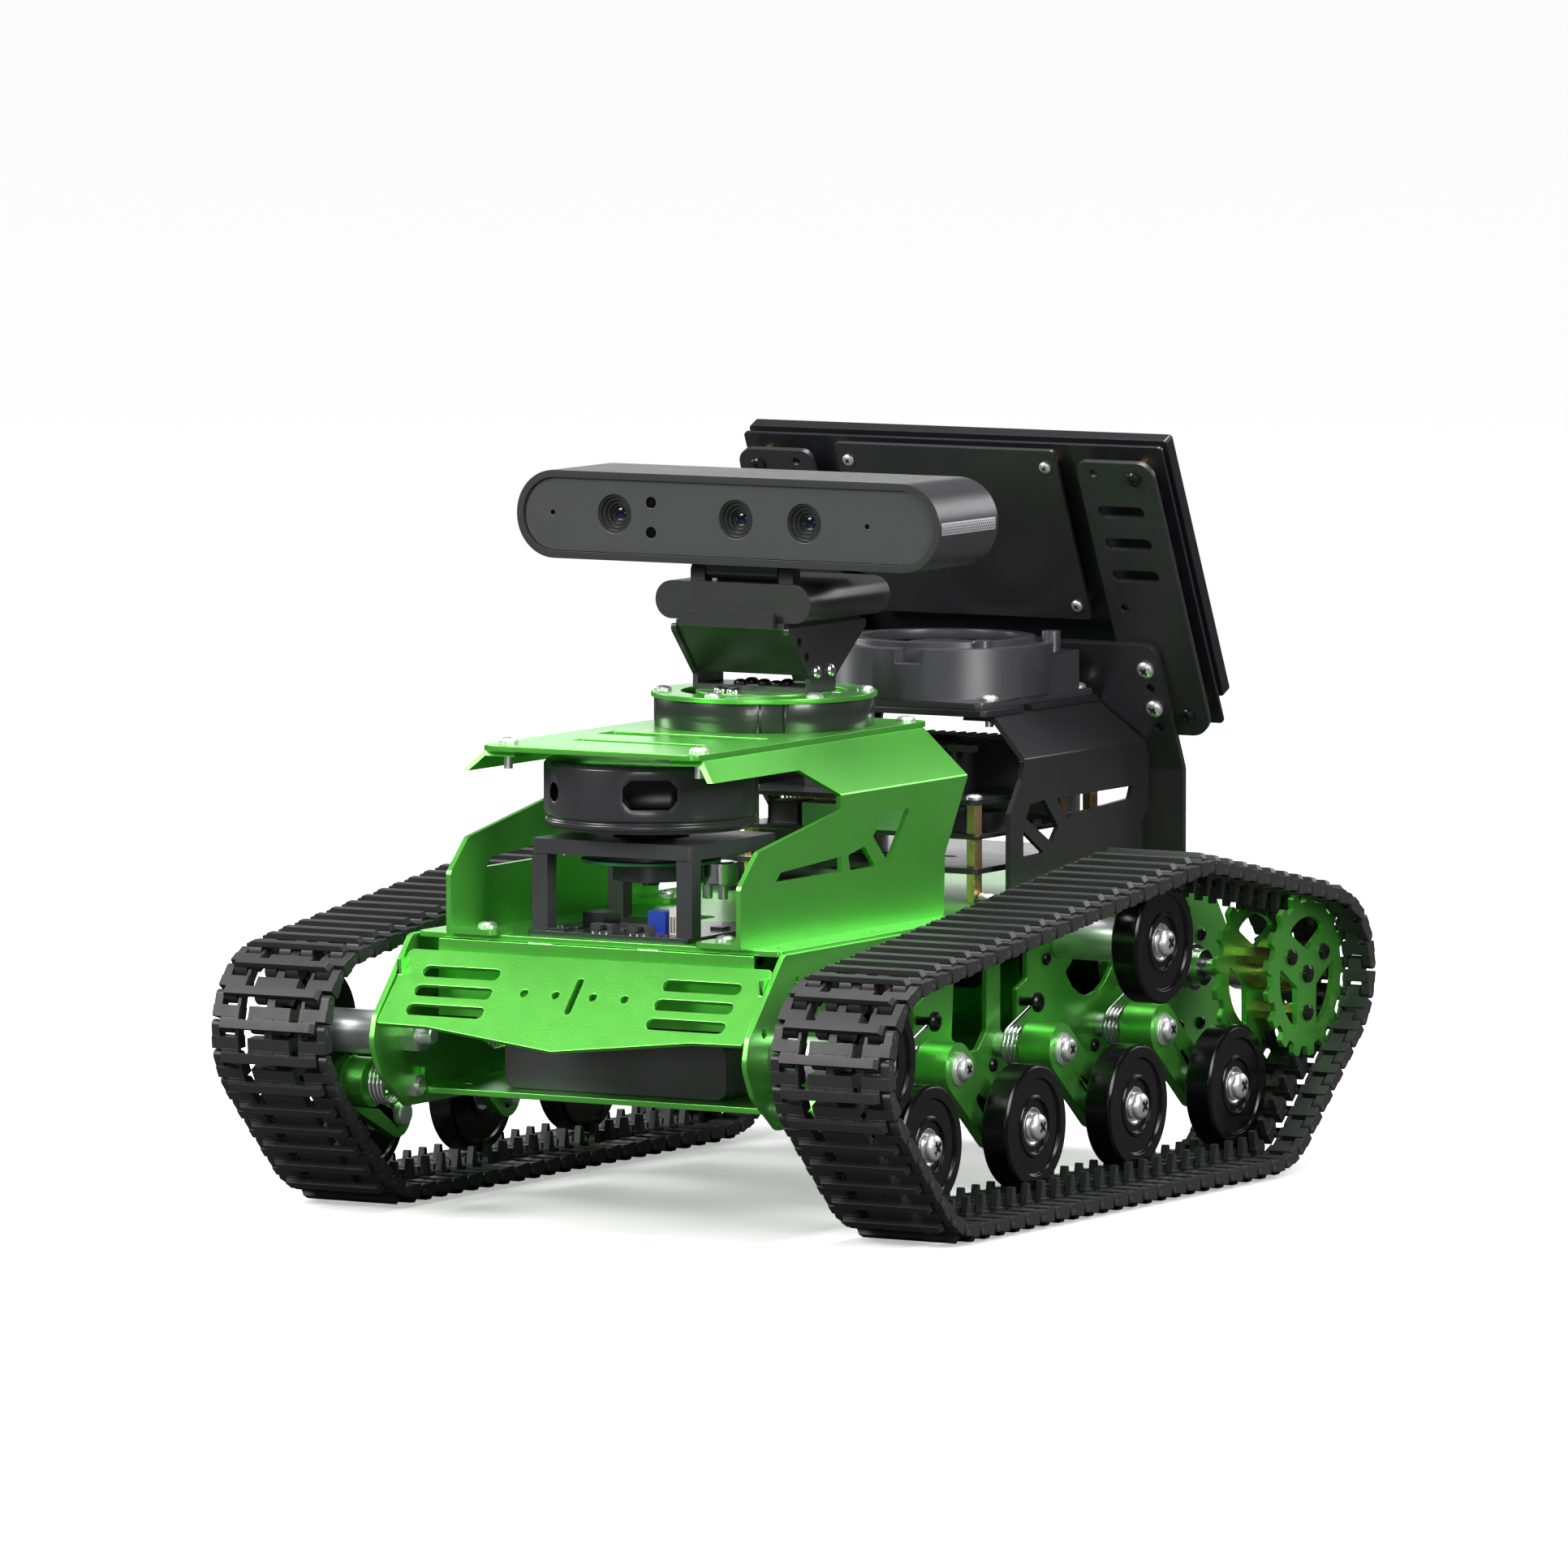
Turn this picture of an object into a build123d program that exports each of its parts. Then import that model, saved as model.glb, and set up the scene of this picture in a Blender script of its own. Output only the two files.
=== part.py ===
from build123d import *
import os, math

# Tracked tank chassis with suspension, lidar, pan/tilt depth camera and rear display.
# Millimetres, +Z up, robot front towards -Y, robot's right-hand side towards +X.
# Origin: centre of the overall box at ground level.

# ---------------------------------------------------------------- driving dimensions
Y_SHIFT = -9.3            # brings the middle of the overall length to the origin
SHEET = 2.0               # hull sheet thickness
SIDE_IN, SIDE_OUT = 71.0, 73.0      # side plate inner / outer face, |x|
DECK_Z0, DECK_Z1 = 94.3, 96.3       # deck sheet
TRAY_Z0, TRAY_Z1 = 41.7, 43.7       # tray sheet
TRACK_X = 108.4           # centre plane of each track
LINK_W = 44.7             # link width
PIN_Z = 4.55              # pin line above ground
LINK_PITCH = 10.2         # nominal link pitch
WHEEL_R, WHEEL_X0, WHEEL_X1 = 21.0, 103.4, 113.4
HUB_Z = 30.9
ROAD_Y = (-102.0, -30.6, 40.8, 112.2)
PIVOTS = ((-131.0, 44.5), (-56.0, 52.0), (15.4, 52.0), (86.8, 52.0))
FRONT_IDLER = (-133.1, 61.8)
TOP_IDLER = (59.2, 85.0)
SPROCKET = (150.5, 66.5)
SPROCKET_TEETH = 17
SPROCKET_PIN_R = 27.75    # radius of the pin line round the sprocket
SPROCKET_TIP_R, SPROCKET_ROOT_R = 28.8, 25.2
DISC_DX, DISC_T = 10.0, 2.0         # sprocket disc offset from track centre, thickness
ARM_X0, ARM_X1 = 93.5, 97.5         # suspension arm plate
WALL_X = 57.0             # outer face of canopy walls
PAN_Y = -17.3             # pan axis of the camera turntable
LIDAR_Y = -92.7           # axis of the lidar head
TILT_Y, TILT_Z = -30.0, 213.0       # camera tilt axis
BLOWER_X, BLOWER_Y = 3.0, 100.1    # blower axis
BAR = (165.0, 40.0, 30.0)           # depth camera bar
DISPLAY = (165.8, 100.65, 5.1)      # display module
DISPLAY_TOP = (0.0, 119.4, 253.8)   # upper edge of the screen plane
DISPLAY_TILT = 25.16                # from vertical

os.makedirs("parts", exist_ok=True)

# ---------------------------------------------------------------- helpers
def _map(plane, a, b, c):
    if plane == "yz":
        return Vector(c, a, b)
    if plane == "xz":
        return Vector(a, c, b)
    return Vector(a, b, c)

def _dir(plane, d):
    return {"yz": Vector(d, 0, 0), "xz": Vector(0, d, 0), "xy": Vector(0, 0, d)}[plane]

def rwire(plane, pts, level, rad=0.0):
    """closed outline with rounded corners; rad is one radius or one per point"""
    n = len(pts)
    rads = rad if isinstance(rad, (list, tuple)) else [rad] * n
    cor = []
    for i in range(n):
        p = pts[i]; a = pts[i - 1]; b = pts[(i + 1) % n]; r = rads[i]
        ua = (a[0] - p[0], a[1] - p[1]); ub = (b[0] - p[0], b[1] - p[1])
        la = math.hypot(*ua); lb = math.hypot(*ub)
        ua = (ua[0] / la, ua[1] / la); ub = (ub[0] / lb, ub[1] / lb)
        cosg = max(-1, min(1, ua[0] * ub[0] + ua[1] * ub[1]))
        g = math.acos(cosg)
        if r <= 0 or g > math.radians(178):
            cor.append((p, None, p)); continue
        t = min(r / math.tan(g / 2), la * 0.49, lb * 0.49)
        r = t * math.tan(g / 2)
        q1 = (p[0] + ua[0] * t, p[1] + ua[1] * t); q2 = (p[0] + ub[0] * t, p[1] + ub[1] * t)
        bx, by = ua[0] + ub[0], ua[1] + ub[1]; bl = math.hypot(bx, by)
        dc = r / math.sin(g / 2)
        m = (p[0] + bx / bl * (dc - r), p[1] + by / bl * (dc - r))
        cor.append((q1, m, q2))
    edges = []
    for i in range(n):
        q1, m, q2 = cor[i]
        if m is not None:
            edges.append(Edge.make_three_point_arc(_map(plane, *q1, level), _map(plane, *m, level), _map(plane, *q2, level)))
        e = cor[(i + 1) % n][0]
        if math.hypot(e[0] - q2[0], e[1] - q2[1]) > 1e-6:
            edges.append(Edge.make_line(_map(plane, *q2, level), _map(plane, *e, level)))
    return Wire(edges)

def cwire(plane, a, b, r, level):
    zd = {"yz": (1, 0, 0), "xz": (0, 1, 0), "xy": (0, 0, 1)}[plane]
    return Wire([Edge.make_circle(r, Plane(_map(plane, a, b, level), z_dir=zd))])

def prism(plane, pts, lo, hi, rad=0.0, holes=()):
    """sheet or block: outline in a plane, thickness lo..hi; holes are (a, b, r) circles or (points, radius) outlines"""
    outer = rwire(plane, pts, lo, rad) if not (isinstance(pts, tuple) and len(pts) == 3 and not isinstance(pts[0], tuple)) else cwire(plane, *pts, lo)
    inner = []
    for h in holes:
        if len(h) == 3:
            inner.append(cwire(plane, h[0], h[1], h[2], lo))
        else:
            inner.append(rwire(plane, h[0], lo, h[1]))
    f = Face(outer, inner) if inner else Face(outer)
    return Solid.extrude(f, _dir(plane, hi - lo))

def box(x0, x1, y0, y1, z0, z1):
    return Solid.make_box(x1 - x0, y1 - y0, z1 - z0, Plane((x0, y0, z0)))

def cyl(axis, a, b, r, lo, hi):
    """cylinder along axis x (a=y,b=z), y (a=x,b=z) or z (a=x,b=y)"""
    if axis == "x":
        return Solid.make_cylinder(r, hi - lo, Plane((lo, a, b), z_dir=(1, 0, 0)))
    if axis == "y":
        return Solid.make_cylinder(r, hi - lo, Plane((a, lo, b), z_dir=(0, 1, 0)))
    return Solid.make_cylinder(r, hi - lo, Plane((a, b, lo), z_dir=(0, 0, 1)))

def ring(axis, a, b, r0, r1, lo, hi):
    return cyl(axis, a, b, r1, lo, hi).cut(cyl(axis, a, b, r0, lo - 1, hi + 1))

def one(s):
    """single solid out of a boolean result"""
    if isinstance(s, Solid):
        return s
    ss = s.solids()
    return ss[0] if len(ss) == 1 else Compound(children=list(ss))

def fuse(*s):
    r = s[0]
    if len(s) > 1:
        r = r.fuse(*s[1:])
    return one(r)

def cut(a, *s):
    return one(a.cut(*s))

def slot(cx, cy, half, r, along="a"):
    """stadium outline points for rwire with radius r"""
    if along == "a":
        p = [(cx - half, cy - r), (cx + half, cy - r), (cx + half, cy + r), (cx - half, cy + r)]
    else:
        p = [(cx - r, cy - half), (cx + r, cy - half), (cx + r, cy + half), (cx - r, cy + half)]
    return (p, r * 0.985)

def revolve_x(prof, y, z):
    """profile [(x, r)] turned about an axis along X through (y, z)"""
    w = Wire.make_polygon([Vector(a, 0, r) for a, r in prof], close=True)
    s = Solid.revolve(Face(w), 360, Axis((0, 0, 0), (1, 0, 0)))
    return s.moved(Location((0, y, z)))

def revolve_z(prof, x, y):
    w = Wire.make_polygon([Vector(r, 0, a) for r, a in prof], close=True)
    s = Solid.revolve(Face(w), 360, Axis((0, 0, 0), (0, 0, 1)))
    return s.moved(Location((x, y, 0)))

def mirror_x(s):
    return s.mirror(Plane.YZ)

def both(*s):
    out = []
    for k in s:
        out += [k, mirror_x(k)]
    return out

def save(name, solids):
    flat = []
    for s in solids:
        flat += list(s.solids())
    flat = [s.moved(Location((0, Y_SHIFT, 0))) for s in flat]
    c = Compound(children=flat) if len(flat) > 1 else flat[0]
    export_step(c, "parts/%s.step" % name)
    print(name, len(flat))

def pan_screw(x, y, z, axis, r_head=3.0, h_head=2.0, r_shaft=1.45, length=5.0):
    """pan head screw, head seat at (x,y,z), head towards +axis; turned profile with a domed head"""
    prof = [(-length, 0), (-length, r_shaft), (0, r_shaft), (0, r_head), (h_head * 0.45, r_head),
            (h_head * 0.8, r_head * 0.78), (h_head, r_head * 0.4), (h_head, 0)]
    w = Wire.make_polygon([Vector(r, 0, a) for a, r in prof], close=True)
    s = Solid.revolve(Face(w), 360, Axis((0, 0, 0), (0, 0, 1)))
    return s.moved(Location(Plane((x, y, z), z_dir=axis)))

# ---------------------------------------------------------------- hull: side plates
WINDOW_A = [(16.5, 86.0), (16.5, 57.6), (24.5, 51.4), (28.3, 51.4), (28.3, 69.9), (35.2, 72.8), (35.2, 86.0)]
WINDOW_B = [(-15.0, 86.0), (-17.2, 57.0), (-5.0, 51.6), (1.0, 51.6), (6.9, 57.4), (7.2, 86.0)]
HOOKS = [(-114.5, 72.0), (-40.2, 65.4), (31.1, 65.4), (102.5, 65.4)]
FLANGE_SCREWS = [(158.8, 46.2), (143.5, 46.2), (159.3, 77.0), (11.0, 45.5), (82.4, 45.5), (-60.0, 45.5), (48.0, 78.5)]
outline = [(-129.5, 95.4), (-152.8, 69.5), (-155.2, 60.5), (-149.5, 49.5), (-133.5, 37.5), (168.0, 37.5), (179.0, 52.0), (179.0, 78.0), (166.0, 95.4)]
arc_cut = []
for k in range(0, 13):      # scalloped opening behind the top idler sleeve, with a lug left round the sleeve
    a = math.radians(-200 + 220 * k / 12)
    arc_cut.append((79.0 + 19.5 * math.cos(a), 82.5 + 19.5 * math.sin(a)))
arc_cut = [(p[0], min(p[1], 88.0)) for p in arc_cut]
arc_cut = [p for i, p in enumerate(arc_cut) if p[0] > 70.5 or p[1] < 76.5]
arc_cut = [(71.0, 88.0), (70.4, 80.0), (66.0, 75.2), (62.5, 73.0)] + [p for p in arc_cut if p[1] < 72.5] + [(97.6, 76.5), (98.3, 82.5), (97.4, 88.0)]
holes = [(WINDOW_A, 1.5), ([(y - 71.4, z) for y, z in WINDOW_A], 1.5), (WINDOW_B, 1.5), ([(y - 71.4, z) for y, z in WINDOW_B], 1.5), (arc_cut, 0.8)]
holes += [(p[0], p[1], 2.55) for p in PIVOTS]
holes += [(FRONT_IDLER[0], FRONT_IDLER[1], 3.05), (TOP_IDLER[0], TOP_IDLER[1], 3.05), (SPROCKET[0], SPROCKET[1], 6.0)]
holes += [(SPROCKET[0] + 0.5, 86.0, 1.6), (-121.0, 86.0, 1.6), (-121.0, 78.5, 1.6), (-143.0, 70.7, 1.6)]
holes += [(y, z, 1.55) for y, z in HOOKS] + [(y, z, 1.25) for y, z in FLANGE_SCREWS]
side = prism("yz", outline, SIDE_IN, SIDE_OUT, rad=[3, 6, 8, 8, 3, 3, 4, 6, 3], holes=holes)
save("side_plates", both(side))

# ---------------------------------------------------------------- hull: deck, front plate, tray
dh = []
for sx in (-1, 1):
    dh += [(sx * 63.0, -118.0, 1.6), (sx * 63.0, -54.9, 1.6), (sx * 63.0, -10.5, 1.6), (sx * 63.0, 30.0, 1.6), (sx * 46.1, -122.4, 1.5)]
dh += [slot(0, 13.0, 30.0, 1.1), slot(0, 20.0, 30.0, 1.1), slot(0, 27.0, 30.0, 1.1), slot(0, 34.0, 30.0, 1.1)]
dh += [slot(12.0, -45.0, 9.0, 6.0, "b"), slot(-12.0, -45.0, 9.0, 6.0, "b")]
deck = fuse(prism("xy", [(-70.5, -127.5), (70.5, -127.5), (70.5, 166.0), (-70.5, 166.0)], DECK_Z0, DECK_Z1, 2.5, dh),
            *both(box(68.9, 70.9, -112.0, 52.0, 88.0, DECK_Z0 + 0.5), box(68.9, 70.9, 104.0, 160.0, 88.0, DECK_Z0 + 0.5)))
save("top_deck", [deck])

FP = Plane(origin=(0, -132.6, 90.7), x_dir=(1, 0, 0), z_dir=(0, -0.7383, 0.6744))
fh = []
for sx in (-1, 1):
    for s in (8.8, 16.8, 24.8):
        fh.append(slot(sx * 46.5, -s, 15.0, 2.3))
    fh += [(sx * 7.2, -15.6, 1.5), (sx * 19.4, -15.6, 1.5)]
fh.append(slot(0, -15.6, 7.4, 1.25, "b"))
front_l = prism("xy", [(-70.3, 0), (-70.8, -31.3), (-51, -31.6), (0, -38.6), (51, -31.6), (70.8, -31.3), (70.3, 0)], -1.8, 0, rad=[2, 1, 2, 2, 2, 1, 2], holes=fh)
front = front_l.moved(FP.location)
tabs = both(box(63.0, 70.9, -133.5, -122.0, 86.2, 88.0), box(69.0, 70.9, -140.0, -124.0, 76.5, 88.0))
save("front_plate", [fuse(front, *tabs)])

tray = fuse(box(-70.9, 70.9, -128.0, 166.0, TRAY_Z0, TRAY_Z1),
            *both(box(68.9, 70.9, -125.5, -102.0, TRAY_Z1 - 0.5, 50.0), box(68.9, 70.9, -65.0, 40.0, TRAY_Z1 - 0.5, 47.4), box(68.9, 70.9, 100.0, 164.0, TRAY_Z1 - 0.5, 50.0)),
            box(-66.0, 66.0, 164.4, 166.0, TRAY_Z1 - 0.5, 90.0))
tray = cut(tray, *[cyl("z", x, y, 2.0, 40, 46) for x in (-60, 60) for y in (-112.0, -40.0, 60.0, 140.0)],
           *both(box(66.3, 72.0, -130.0, -126.4, 40.0, 52.0)))       # corners cut away round the front pivot nuts
save("bottom_tray", [tray])

# ---------------------------------------------------------------- battery, motors
bat = prism("xz", [(-43, TRAY_Z1), (43, TRAY_Z1), (43, 63.2), (-43, 63.2)], -117.0, 22.0, rad=4.0)
save("battery_pack", [bat])

mot = fuse(cyl("x", SPROCKET[0], SPROCKET[1], 12.5, 44.0, 70.98), cyl("x", SPROCKET[0], SPROCKET[1], 12.0, 12.0, 44.2),
           cyl("x", SPROCKET[0], SPROCKET[1], 5.9, 70.0, 76.0), ring("x", SPROCKET[0], SPROCKET[1], 3.3, 6.4, 75.5, 79.5), cyl("x", SPROCKET[0], SPROCKET[1], 4.0, 9.0, 12.5),
           cyl("x", SPROCKET[0], SPROCKET[1], 8.2, SIDE_OUT, 76.0))
mot = cut(mot, cyl("x", SPROCKET[0], SPROCKET[1], 3.08, 55.0, 90.0))
legs = fuse(box(46.0, 52.0, SPROCKET[0] - 8, SPROCKET[0] + 8, TRAY_Z1, SPROCKET[1] - 11.0), cyl("x", SPROCKET[0], SPROCKET[1], 13.6, 46.0, 52.0))
legs = cut(legs, cyl("x", SPROCKET[0], SPROCKET[1], 12.5, 40.0, 60.0))
save("gear_motors", both(mot, legs))

# ---------------------------------------------------------------- sprockets
def sprocket_disc(x0, x1, phase):
    pts = []
    n = SPROCKET_TEETH
    for i in range(n):
        for f, r in ((-0.30, SPROCKET_ROOT_R), (-0.21, SPROCKET_TIP_R - 0.5), (-0.13, SPROCKET_TIP_R), (0.13, SPROCKET_TIP_R), (0.21, SPROCKET_TIP_R - 0.5), (0.30, SPROCKET_ROOT_R)):
            a = 2 * math.pi * (i + f) / n + phase
            pts.append((SPROCKET[0] + r * math.cos(a), SPROCKET[1] + r * math.sin(a)))
    hs = [(SPROCKET[0], SPROCKET[1], 3.0)]
    for b in (90, 210, 330):
        hs.append((SPROCKET[0] + 13.5 * math.cos(math.radians(b + 60)), SPROCKET[1] + 13.5 * math.sin(math.radians(b + 60)), 1.55))
        w = []                       # three curved windows between the spokes
        for k in range(9):
            a = math.radians(b - 40 + 10 * k); w.append((SPROCKET[0] + 19.8 * math.cos(a), SPROCKET[1] + 19.8 * math.sin(a)))
        for k in (22, 0, -22):
            a = math.radians(b + k); r = 8.2 if k == 0 else 11.2
            w.append((SPROCKET[0] + r * math.cos(a), SPROCKET[1] + r * math.sin(a)))
        hs.append((w, 0.9))
    return prism("yz", pts, x0, x1, rad=0.35, holes=hs)

def sprocket():
    cx = TRACK_X
    xi0, xi1 = cx - DISC_DX - DISC_T / 2, cx - DISC_DX + DISC_T / 2
    xo0, xo1 = cx + DISC_DX - DISC_T / 2, cx + DISC_DX + DISC_T / 2
    ph = 0.02
    out = [sprocket_disc(xi0, xi1, ph), sprocket_disc(xo0, xo1, ph)]
    y, z = SPROCKET
    hub = revolve_x([(58.0, 0), (58.0, 3.0), (84.0, 3.0), (86.0, 4.2), (92.0, 6.8), (xi0, 6.8), (xi0, 3.0), (xi1, 3.0), (xi1, 6.4), (xo0, 6.4), (xo0, 3.0), (xo1, 3.0),
                     (xo1, 3.2), (xo1 + 1.3, 3.0), (xo1 + 1.9, 1.8), (xo1 + 1.9, 0)], y, z)
    out.append(hub)
    for b in (30, 150, 270):
        py = y + 13.5 * math.cos(math.radians(b)); pz = z + 13.5 * math.sin(math.radians(b))
        hexp = [(py + 3.2 * math.cos(math.radians(60 * k)), pz + 3.2 * math.sin(math.radians(60 * k))) for k in range(6)]
        st = prism("yz", hexp, xi1, xo0)
        bolt = fuse(cyl("x", py, pz, 1.55, xi0 - 0.01, xi1 + 0.01), cyl("x", py, pz, 1.55, xo0 - 0.01, xo1 + 0.01), revolve_x([(xo1, 0), (xo1, 2.9), (xo1 + 1.2, 2.7), (xo1 + 1.9, 1.6), (xo1 + 1.9, 0)], py, pz),
                    revolve_x([(xi0, 0), (xi0, 2.9), (xi0 - 1.2, 2.7), (xi0 - 1.9, 1.6), (xi0 - 1.9, 0)], py, pz), st)
        out.append(bolt)
    return out

sp = sprocket()
save("sprocket_right", sp)
save("sprocket_left", [mirror_x(s) for s in sp])

# ---------------------------------------------------------------- wheels
def wheel(y, z):
    x0, x1, R = WHEEL_X0, WHEEL_X1, WHEEL_R
    # moulded wheel: rim, recessed web on both faces, bearing seat
    prof = [(x0, 6.6), (x0, 8.2), (x0 + 1.0, 8.6), (x0 + 1.0, 17.0), (x0, 17.6), (x0, R - 0.9), (x0 + 0.9, R), (x1 - 0.9, R), (x1, R - 0.9), (x1, 16.6), (x1 - 0.9, 16.0),
            (x1 - 0.9, 10.6), (x1 - 0.3, 10.2), (x1 - 0.3, 9.2), (x1 - 1.3, 8.8), (x1 - 1.3, 6.6)]
    tyre = revolve_x(prof, y, z)
    bear = revolve_x([(x0 + 0.1, 3.06), (x0 + 0.1, 6.6), (x1 - 1.4, 6.6), (x1 - 1.4, 5.8), (x1 - 1.9, 5.4), (x1 - 1.9, 4.4), (x1 - 1.4, 4.0), (x1 - 1.4, 3.06)], y, z)
    return [tyre, bear]

def axle(y, z, x_in):
    """bolt and spacer that carry a wheel; x_in is where the spacer starts"""
    return revolve_x([(x_in, 0), (x_in, 5.0), (WHEEL_X0 - 0.4, 5.0), (WHEEL_X0 - 0.2, 3.9), (WHEEL_X0 - 0.1, 2.98), (WHEEL_X1 - 1.2, 2.98), (WHEEL_X1 - 1.2, 4.6), (WHEEL_X1 + 0.4, 4.7), (WHEEL_X1 + 1.6, 4.0), (WHEEL_X1 + 2.4, 2.4), (WHEEL_X1 + 2.4, 0)], y, z)

for i, y in enumerate(ROAD_Y):
    w = wheel(y, HUB_Z)
    save("road_wheel_right_%d" % (i + 1), w)
    save("road_wheel_left_%d" % (i + 1), [mirror_x(s) for s in w])
for nm, (y, z) in (("front_idler", FRONT_IDLER), ("top_idler", TOP_IDLER)):
    w = wheel(y, z)
    save(nm + "_right", w)
    save(nm + "_left", [mirror_x(s) for s in w])

# ---------------------------------------------------------------- suspension arms
def tear(p, q, rp, rq):
    """outline of two circles joined by tangents, as points"""
    d = math.atan2(q[1] - p[1], q[0] - p[0]); L = math.hypot(q[0] - p[0], q[1] - p[1])
    be = math.acos((rp - rq) / L)
    pts = []
    n = 14
    for k in range(n + 1):
        a = d + be + (2 * math.pi - 2 * be) * k / n
        pts.append((p[0] + rp * math.cos(a), p[1] + rp * math.sin(a)))
    for k in range(n + 1):
        a = d - be + 2 * be * k / n
        pts.append((q[0] + rq * math.cos(a), q[1] + rq * math.sin(a)))
    return pts

bolts = []
springs = []
for i, (py, pz) in enumerate(PIVOTS):
    hy, hz = ROAD_Y[i], HUB_Z
    plate = prism("yz", tear((py, pz), (hy, hz), 8.8, 8.4), ARM_X0, ARM_X1, holes=[(py, pz, 2.6), (hy, hz, 2.5)])
    boss = ring("x", py, pz, 2.6, 8.8 if i else 8.4, 85.5, ARM_X0)
    arm = fuse(plate, boss)
    ax = fuse(axle(hy, hz, ARM_X1), cyl("x", hy, hz, 2.5, ARM_X0 - 0.01, ARM_X1 + 0.01), revolve_x([(ARM_X0, 0), (ARM_X0, 4.2), (ARM_X0 - 2.6, 4.2), (ARM_X0 - 3.2, 3.6), (ARM_X0 - 3.2, 0)], hy, hz))
    save("arm_right_%d" % (i + 1), [arm, ax])
    save("arm_left_%d" % (i + 1), [mirror_x(arm), mirror_x(ax)])
    # pivot bolt with flange washer outside and locking nut inside the hull
    b = revolve_x([(66.5, 0), (66.5, 2.5), (97.6, 2.5), (97.6, 5.6), (98.4, 5.6), (98.5, 4.9), (99.0, 4.9), (99.1, 4.4), (100.2, 4.3), (101.2, 3.6), (101.8, 2.2), (101.8, 0)], py, pz)
    b = fuse(b, ring("x", py, pz, 2.4, 4.2, SIDE_OUT, 76.0))
    nut = prism("yz", [(py + 4.0 * math.cos(math.radians(60 * k)), pz + 4.0 * math.sin(math.radians(60 * k))) for k in range(6)], 67.5, SIDE_IN, holes=[(py, pz, 2.5)])
    bolts += both(b, nut)
    # torsion spring: close wound coil round the pivot between plate and boss, one leg to the hook screw
    rm, rw = 6.6, 0.75
    prof = [(77.2, rm - 0.25), (77.2, rm - 0.1)]
    for k in range(4):
        c0 = 78.0 + 1.9 * k
        for a in (180, 150, 120, 90, 60, 30, 0):
            prof.append((c0 + rw * math.cos(math.radians(a)), rm + rw * math.sin(math.radians(a)) + 0.05))
    prof += [(84.6, rm - 0.1), (84.6, rm - 0.25)]
    coil = revolve_x(prof, py, pz)
    hy2, hz2 = HOOKS[i]
    dx, dz = hy2 - py, hz2 - pz
    L = math.hypot(dx, dz)
    # tangent start on the coil, on the far side so that the leg passes the head of the hook screw
    a0 = math.atan2(dz, dx) + math.acos(min(1, rm / L)) * (1 if i else -1)
    ty, tz = py + rm * math.cos(a0), pz + rm * math.sin(a0)
    leg = Solid.make_cylinder(rw, math.hypot(hy2 - ty, hz2 - tz) - 2.6, Plane((78.1, ty, tz), z_dir=(0, hy2 - ty, hz2 - tz)))
    spr = fuse(coil, leg)
    springs += both(spr)

# idler axles: sleeve, through bolt, nut
sleeves = []
for (y, z) in (FRONT_IDLER, TOP_IDLER):
    sleeves += both(cut(revolve_x([(SIDE_OUT, 0), (SIDE_OUT, 7.5), (101.2, 7.5), (102.0, 6.8), (102.0, 0)], y, z), cyl("x", y, z, 3.0, 70, 104)))
    b = revolve_x([(60.5, 0), (60.5, 2.5), (61.0, 3.0), (102.0, 3.0), (102.0, 5.0), (WHEEL_X0 - 0.3, 5.0), (WHEEL_X0 - 0.2, 3.0), (WHEEL_X1 - 1.2, 2.98), (WHEEL_X1 - 1.2, 4.6), (WHEEL_X1 + 0.4, 4.7), (WHEEL_X1 + 1.6, 4.0), (WHEEL_X1 + 2.4, 2.4), (WHEEL_X1 + 2.4, 0)], y, z)
    hexp = [(y + 6.0 * math.cos(math.radians(60 * k)), z + 6.0 * math.sin(math.radians(60 * k))) for k in range(6)]
    bolts += both(b, prism("yz", hexp, 65.0, SIDE_IN, holes=[(y, z, 3.0)]))
save("idler_sleeves", sleeves)
save("axle_bolts", bolts)
save("torsion_springs", springs)

# ---------------------------------------------------------------- tracks
def track_path():
    """closed pin line: arcs about the wheel centres joined by outer tangents, clockwise seen from +X"""
    C = [(FRONT_IDLER, 26.7), (TOP_IDLER, 26.7), (SPROCKET, SPROCKET_PIN_R), ((ROAD_Y[3], HUB_Z), HUB_Z - PIN_Z), ((ROAD_Y[0], HUB_Z), HUB_Z - PIN_Z)]
    n = len(C)
    tang = []
    for i in range(n):
        (p, r1), (q, r2) = C[i], C[(i + 1) % n]
        d = math.atan2(q[1] - p[1], q[0] - p[0]); L = math.hypot(q[0] - p[0], q[1] - p[1])
        a = d + math.acos((r1 - r2) / L)
        tang.append((a, (p[0] + r1 * math.cos(a), p[1] + r1 * math.sin(a)), (q[0] + r2 * math.cos(a), q[1] + r2 * math.sin(a))))
    segs = []
    for i in range(n):
        a_in = tang[i - 1][0]; a_out = tang[i][0]
        while a_out > a_in: a_out -= 2 * math.pi
        (c, r) = C[i]
        segs.append(("arc", c, r, a_in, a_out, r * (a_in - a_out)))
        s, e = tang[i][1], tang[i][2]
        segs.append(("line", s, e, math.hypot(e[0] - s[0], e[1] - s[1])))
    return segs

SEGS = track_path()
TOTAL = sum(s[-1] for s in SEGS)

def at(u):
    u = u % TOTAL
    for s in SEGS:
        if u <= s[-1]:
            if s[0] == "arc":
                a = s[3] - u / s[2]
                return (s[1][0] + s[2] * math.cos(a), s[1][1] + s[2] * math.sin(a))
            f = u / s[-1]
            return (s[1][0] + (s[2][0] - s[1][0]) * f, s[1][1] + (s[2][1] - s[1][1]) * f)
        u -= s[-1]
    return at(0)

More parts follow.
